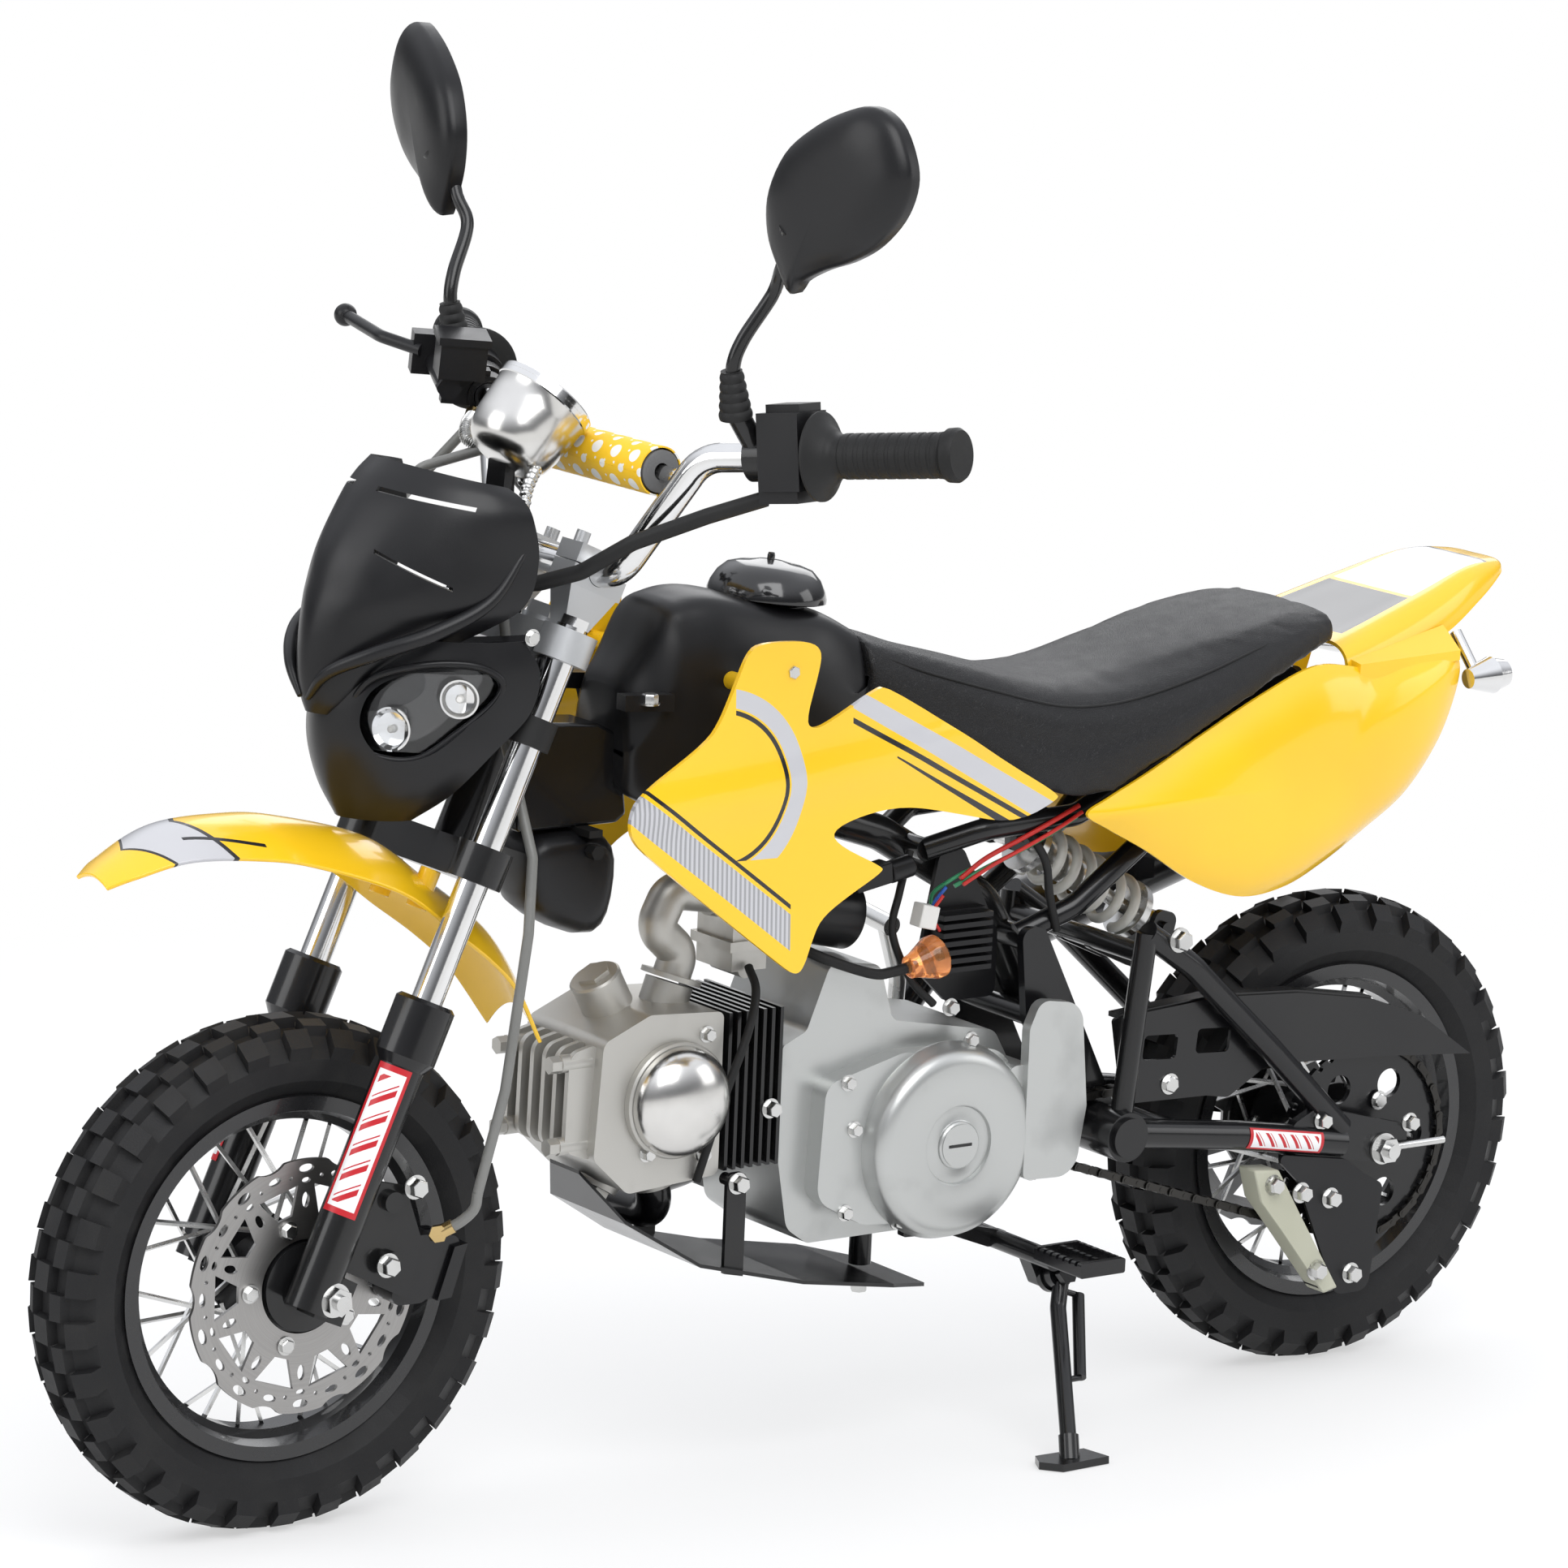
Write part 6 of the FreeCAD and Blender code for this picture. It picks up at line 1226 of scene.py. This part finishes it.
class BIKE_OT_mask(bpy.types.Operator):
    """Black mask with its beak and eye openings, and the twin lamps behind"""
    bl_idname, bl_label = "bike.mask", "Mask and lamps"

    def execute(self, context):
        def skin(rows, inset, along):
            return smooth(smooth([mask_curve(row, inset) for row in rows], 61, 1), along)
        loop = smooth(EYE, 60, closed=True)
        eyes = [prism(loop, 11 * side, 120 * side).mesh_object("eye") for side in (1, -1)]
        chin = Shell().walled(skin(MASK_CHIN, 0, 60), 4)
        chin.finish("mask_chin", "fork", "black_plastic", "black", ["headlight_mask"], cuts=eyes)
        upper = Shell().walled(skin(MASK_UPPER, 0, 80), 4)
        slots = []
        for corners in (((930, 12, 783), (872, 66, 772), (873, 66, 768.5), (931, 12, 779.5)),
                        ((955, 40, 742), (905, 76, 716), (905, 76, 713), (955, 40, 739))):
            for side in (1, -1):
                far = np.array(corners, float) * (1, side, 1)
                out = np.array((46, 30 * side, 6))
                slot = Shell().sheet(np.stack([far - out, far + out]), close_columns=True, caps=True)
                slots.append(slot.mesh_object("slot"))
        upper.finish("mask_shield", "fork", "black_plastic", "black", ["headlight_mask"], cuts=slots)
        brow = Shell()
        for side in (1, -1):
            over = np.array(((984, 5, 628), (980, 26, 650), (958, 56, 668), (922, 78, 684), (880, 87, 706),
                             (852, 88, 742))) * (1, side, 1)
            brow.swept(smooth(over, 50), 2.2 + 3.8 * np.sin(np.linspace(0, math.pi, 50)) ** 0.7)
            rim = np.array([(958, 18, 607), (951, 40, 590), (925, 62, 588), (898, 76, 608), (872, 86, 632),
                            (870, 88, 648), (893, 82, 659), (928, 65, 658), (954, 38, 643)]) * (1, side, 1)
            brow.swept(smooth(rim, 90, closed=True), 2.6, closed=True)
        brow.finish("mask_ridges", "fork", "black_plastic", "black", ["headlight_mask"])
        bowl = Shell().walled(skin(MASK_CHIN[:5], 22, 50), 3)
        strap = Shell()
        for side in (1, -1):
            strap.collar(12.4, 17, 11, fork_place((FORK_LEAD, side * FORK_HALF, 441)), ALONG_LEGS)
            strap.rod(4, 0, 22, fork_place((FORK_LEAD + 12, side * FORK_HALF, 441)), (1, 0, 0.3), 12)
        strap.finish("lamp_straps", "fork", "lamp_glass", "rubber", ["headlight"])
        bowl.finish("lamp_bowl", "fork", "lamp_glass", "gloss", ["headlight"])
        cups, bulbs = Shell(), Shell()
        r = np.linspace(0, 1, 12)
        # place, radius and facing of each left lamp
        for place, size, face in (((934, 43, 608), 15, (0.86, 0.5, 0.02)),
                                  ((894, 71, 632), 13, (0.62, 0.78, 0.05))):
            for side in (1, -1):
                spot, axis = np.array(place) * (1, side, 1), np.array(face) * (1, side, 1)
                bowl_curve = np.stack([size * r, 9 * r ** 2 - 6], -1).tolist()
                cups.turned(bowl_curve + [(size + 1.5, 3), (size + 1.5, 1), (size, 0)], spot, axis, 36)
                bulbs.turned([(0, -5), (3, -5), (3, 2), (2, 4), (0, 4.6)], spot, axis, 16)
        cups.finish("lamp_reflectors", "fork", "chrome", "chrome", ["headlight"])
        bulbs.finish("lamp_bulbs", "fork", "lamp_glass", "plug", ["headlight"])
        lens = Shell().walled(skin(MASK_CHIN[1:4], 5.5, 40), 1.5)
        lens.finish("lamp_lens", "fork", "lamp_glass", "glass", ["headlight"])
        return {"FINISHED"}


# outwards and upwards from the glass's middle
MIRROR_EDGE = ((-77, -39), (-78, -10), (-60, 21), (-29, 42), (5, 56), (36, 62), (62, 52), (78, 30), (82, 9),
               (71, -15), (46, -37), (17, -51), (-13, -60), (-37, -70), (-49, -80), (-64, -62))


class BIKE_OT_mirrors(bpy.types.Operator):
    """Mirrors: domed shells, glass, bent stems, ribbed boots and clamps"""
    bl_idname, bl_label = "bike.mirrors", "Mirrors"

    def execute(self, context):
        turn = math.radians(13)
        front = np.array((math.cos(turn), math.sin(turn), 0))
        out = np.array((-math.sin(turn), math.cos(turn), 0))
        middle, depth = np.array((719, 272, 1024)), 24.0
        edge = smooth(MIRROR_EDGE, 72, closed=True)
        flat = edge[:, :1] * 0.83 * out + edge[:, 1:] * UP

        def rings(pairs):
            """The edge, moved ahead by a share of the depth and scaled, once for each pair."""
            return np.stack([middle + front * depth * ahead + flat * scale for ahead, scale in pairs])
        t = np.linspace(0, math.pi / 2, 12)[1:]
        dome = np.stack([-0.1 + 0.7 * np.sin(t), np.cos(t) ** 0.55], -1).tolist()
        wall = [(-0.46, 0), (-0.46, 0.94), (-0.5, 0.965), (-0.46, 0.99), (-0.1, 1.0)]
        shell = Shell().sheet(rings(wall + dome), close_columns=True)
        shell.mirrored().finish("mirror_shells", "fork", "black_plastic", "black", ["mirrors"])
        glass = Shell().sheet(rings(((-0.46, 0), (-0.46, 0.92), (-0.478, 0.92), (-0.478, 0))),
                              close_columns=True)
        glass.mirrored().finish("mirror_glass", "fork", "chrome", "chrome", ["mirrors"])
        point, along = bar_spot(GRIP + 51)
        base = bar_spot(GRIP + 43)[0]
        foot = base + (26, 0, 36)
        stem = smooth([foot, foot + (5, 2, 30), foot + (0, 6, 52), (722, 203, 940), (724, 216, 962),
                       (722, 228, 984)], 60)
        arm = Shell().swept(stem, np.linspace(5.6, 4.8, 60))
        neck = smooth([(724, 222, 974), (728, 229, 984), (732, 238, 994)], 12)
        arm.swept(neck, np.linspace(7, 10, 12))
        arm.collar(11.4, 18, 8, point + along * 8, along, 40)
        arm.swept(np.linspace(base + (8, 0, 10), foot, 8), 8.5)
        arm.mirrored().finish("mirror_stems", "fork", "black_plastic", "paint", ["mirrors"])
        height = np.linspace(0, 36, 73)
        radius = 12 - height * 0.12 + 0.9 * np.abs(np.sin(height * math.pi / 7))
        boot = Shell().turned(np.stack([radius, height - 6], -1).tolist(), foot, (0.2, 0.05, 1), 36)
        boot.mirrored().finish("mirror_boots", "fork", "rubber", "rubber", ["mirrors"])
        return {"FINISHED"}


class BIKE_OT_bar_parts(bpy.types.Operator):
    """Ribbed grips, dotted crossbar pad and the speedometer's dial with its ring and glass"""
    bl_idname, bl_label = "bike.bar_parts", "Grips, pad and dial"

    def execute(self, context):
        start, along = bar_spot(GRIP - 4)
        h = np.linspace(13, GRIP - 9, 160)
        ribs = 16.2 + 0.7 * (np.abs(np.sin(h * math.pi / 8.5)) < 0.82) * np.clip((h - 20) / 4, 0, 1)
        bell = 6 * np.exp(-((h - 10) / 5) ** 2) + 4 * np.exp(-((h - (GRIP - 6)) / 5) ** 2)
        profile = [(11.3, 0), (31, 0), (33, 1.5), (33, 3), (31, 4.5), (24, 8)]
        profile += np.stack([ribs + bell, h], -1).tolist() + [(20, GRIP - 3), (18, GRIP), (0, GRIP)]
        grip = Shell().turned(profile, start, along, 44)
        grip.mirrored().finish("grip_rubbers", "fork", "rubber", "rubber", ["grips"])
        # the crossbar joins the bar at a share of its rise
        joint = BAR[0] + (BAR[1] - BAR[0]) * 0.82
        middle = joint * (1, 0, 1)
        a, y = np.meshgrid(np.linspace(0, 2 * math.pi, 57), np.linspace(-98, 98, 25))
        wrap = middle + np.stack([17.5 * np.cos(a), y, 17.5 * np.sin(a)], -1)
        pad = Shell().walled(wrap, 1.2)
        pad.finish("pad_cover", "fork", "pad_cloth", "dots", ["crossbar_pad"])
        foam = Shell().turned([(6.4, -100), (14, -100), (16, -99), (16, 99), (14, 100), (6.4, 100),
                               (6.4, -100)], middle, LEFT, 40)
        foam.finish("pad_foam", "fork", "pad_cloth", "foam", ["crossbar_pad"])
        face = Shell().turned([(36, 1.6), (0.01, 1.6)], DIAL_CENTRE, DIAL_AXIS, 72)
        face.finish("dial", "fork", "black_plastic", "dial")
        ring = Shell().turned([(34.5, 1.8), (36, 3.6), (38, 5), (39.6, 3.6), (39.6, -4), (38.6, -5),
                               (38.6, 3), (34.5, 1.8)], DIAL_CENTRE, DIAL_AXIS, 72)
        ring.finish("dial_ring", "fork", "chrome", "chrome")
        glass = Shell().turned([(0, 3.6), (20, 3.5), (35.4, 2.6), (35.4, 2.1), (0, 2.4)], DIAL_CENTRE,
                               DIAL_AXIS, 64)
        glass.finish("dial_glass", "fork", "lamp_glass", "glass")
        return {"FINISHED"}


class BIKE_OT_chain(bpy.types.Operator):
    """Chain of side plates and rollers, along the run between both sprockets"""
    bl_idname, bl_label = "bike.chain", "Chain"

    def execute(self, context):
        pitch, line = 12.7, 64.0
        path = chain_run(np.array((0.0, TYRE_RADIUS)), 80.0, np.array((316.0, 240.0)), 24.0)
        length = np.concatenate([[0], np.cumsum(np.linalg.norm(np.diff(path, axis=0), axis=1))])
        count = int(round(length[-1] / pitch / 2)) * 2
        at = np.linspace(0, length[-1], count, endpoint=False)
        pins = np.stack([np.interp(at, length, path[:, 0]), np.interp(at, length, path[:, 1])], -1)
        after = np.roll(pins, -1, 0)
        way = unit(after - pins)
        turns = np.zeros((count, 3, 3))
        turns[:, 0, 0], turns[:, 2, 0] = way[:, 0], way[:, 1]
        turns[:, 0, 2], turns[:, 2, 2] = -way[:, 1], way[:, 0]
        turns[:, 1, 1] = 1

        def in_line(flat):
            """Points (x, z) put on the chain's line."""
            return np.stack([flat[:, 0], np.full(count, line), flat[:, 1]], -1)
        places, links = in_line((pins + after) / 2), Shell()
        # a side plate's outline: round ends about both pins, and a waist
        t = np.linspace(0, 2 * math.pi, 24, endpoint=False)
        x = np.sign(np.cos(t)) * pitch / 2 * (np.abs(np.cos(t)) > 0.3) + 3.9 * np.cos(t)
        z = np.sin(t) * (3.9 - 0.9 * (np.abs(np.cos(t)) < 0.35))
        for parity, inset in ((0, 3.6), (1, 5.2)):
            plate = Shell()
            for side in (1, -1):
                low = np.stack([x, np.full(24, side * inset), z], -1)
                plate.sheet(np.stack([low, low + (0, side * 1.3, 0)]), close_columns=True, caps=True)
            links.repeated(plate, places[parity::2], turns[parity::2])
        roller = Shell().turned([(0, -6.8), (1.9, -6.8), (1.9, -3.4), (3.9, -3.4), (3.9, 3.4), (1.9, 3.4),
                                 (1.9, 6.8), (0, 6.8)], (0, 0, 0), LEFT, 10)
        links.repeated(roller, in_line(pins), np.repeat(np.eye(3)[None], count, 0))
        links.finish("chain_links", "chassis", "steel", "dark", ["chain"])
        return {"FINISHED"}


def chain_run(low, low_radius, high, high_radius):
    """Outline of a belt round two circles, as one closed run of points: two tangent lines and two arcs."""
    gap = high - low
    distance = np.linalg.norm(gap)
    base = math.atan2(gap[1], gap[0])
    spread = math.acos((low_radius - high_radius) / distance)
    rear = np.linspace(base + spread, base + 2 * math.pi - spread, 120)
    front = np.linspace(base - spread, base + spread, 50)
    run = np.concatenate([low + low_radius * np.stack([np.cos(rear), np.sin(rear)], -1),
                          high + high_radius * np.stack([np.cos(front), np.sin(front)], -1)])
    return np.concatenate([run, run[:1]])


class BIKE_OT_springs(bpy.types.Operator):
    """Coil of the shock"""
    bl_idname, bl_label = "bike.springs", "Spring"

    def execute(self, context):
        top, low = np.array((327.0, 0, 469)), np.array((182.0, 0, 382))
        along, length = unit(low - top), np.linalg.norm(low - top)
        spring = coil(top + along * 30, top + along * (length - 32), 20, 4.2, 6.0, 40)
        spring.finish("shock_coil", "chassis", "white_spring", "white", ["shock_spring"])
        return {"FINISHED"}


OPERATORS = (BIKE_OT_stage, BIKE_OT_finishes, BIKE_OT_seat, BIKE_OT_tank, BIKE_OT_front_boxes, BIKE_OT_engine,
             BIKE_OT_wings, BIKE_OT_labels, BIKE_OT_fenders, BIKE_OT_mask, BIKE_OT_mirrors, BIKE_OT_bar_parts,
             BIKE_OT_speedometer, BIKE_OT_chain, BIKE_OT_springs, BIKE_OT_wiring, BIKE_OT_disc,
             BIKE_OT_fasteners)
CLASSES = (BikeSizes,) + OPERATORS


class BIKE_PT_panel(bpy.types.Panel):
    """Buttons for the bike's pieces"""
    bl_label, bl_idname = "Dirt bike", "BIKE_PT_panel"
    bl_space_type, bl_region_type, bl_category = "VIEW_3D", "UI", "Dirt bike"

    def draw(self, context):
        for key in BikeSizes.__annotations__:
            self.layout.prop(context.scene.bike_sizes, key)
        for operator in OPERATORS:
            self.layout.operator(operator.bl_idname)


def register():
    """Adds the add-on's classes and the scene's sizes."""
    for cls in CLASSES + (BIKE_PT_panel,):
        bpy.utils.register_class(cls)
    bpy.types.Scene.bike_sizes = bpy.props.PointerProperty(type=BikeSizes)


def unregister():
    """Takes them out again, the last one first."""
    del bpy.types.Scene.bike_sizes
    for cls in reversed(CLASSES + (BIKE_PT_panel,)):
        bpy.utils.unregister_class(cls)


def main():
    """Builds everything through its operators."""
    register()
    for operator in OPERATORS:
        group, name = operator.bl_idname.split(".")
        getattr(getattr(bpy.ops, group), name)()


if __name__ == "__main__":
    main()
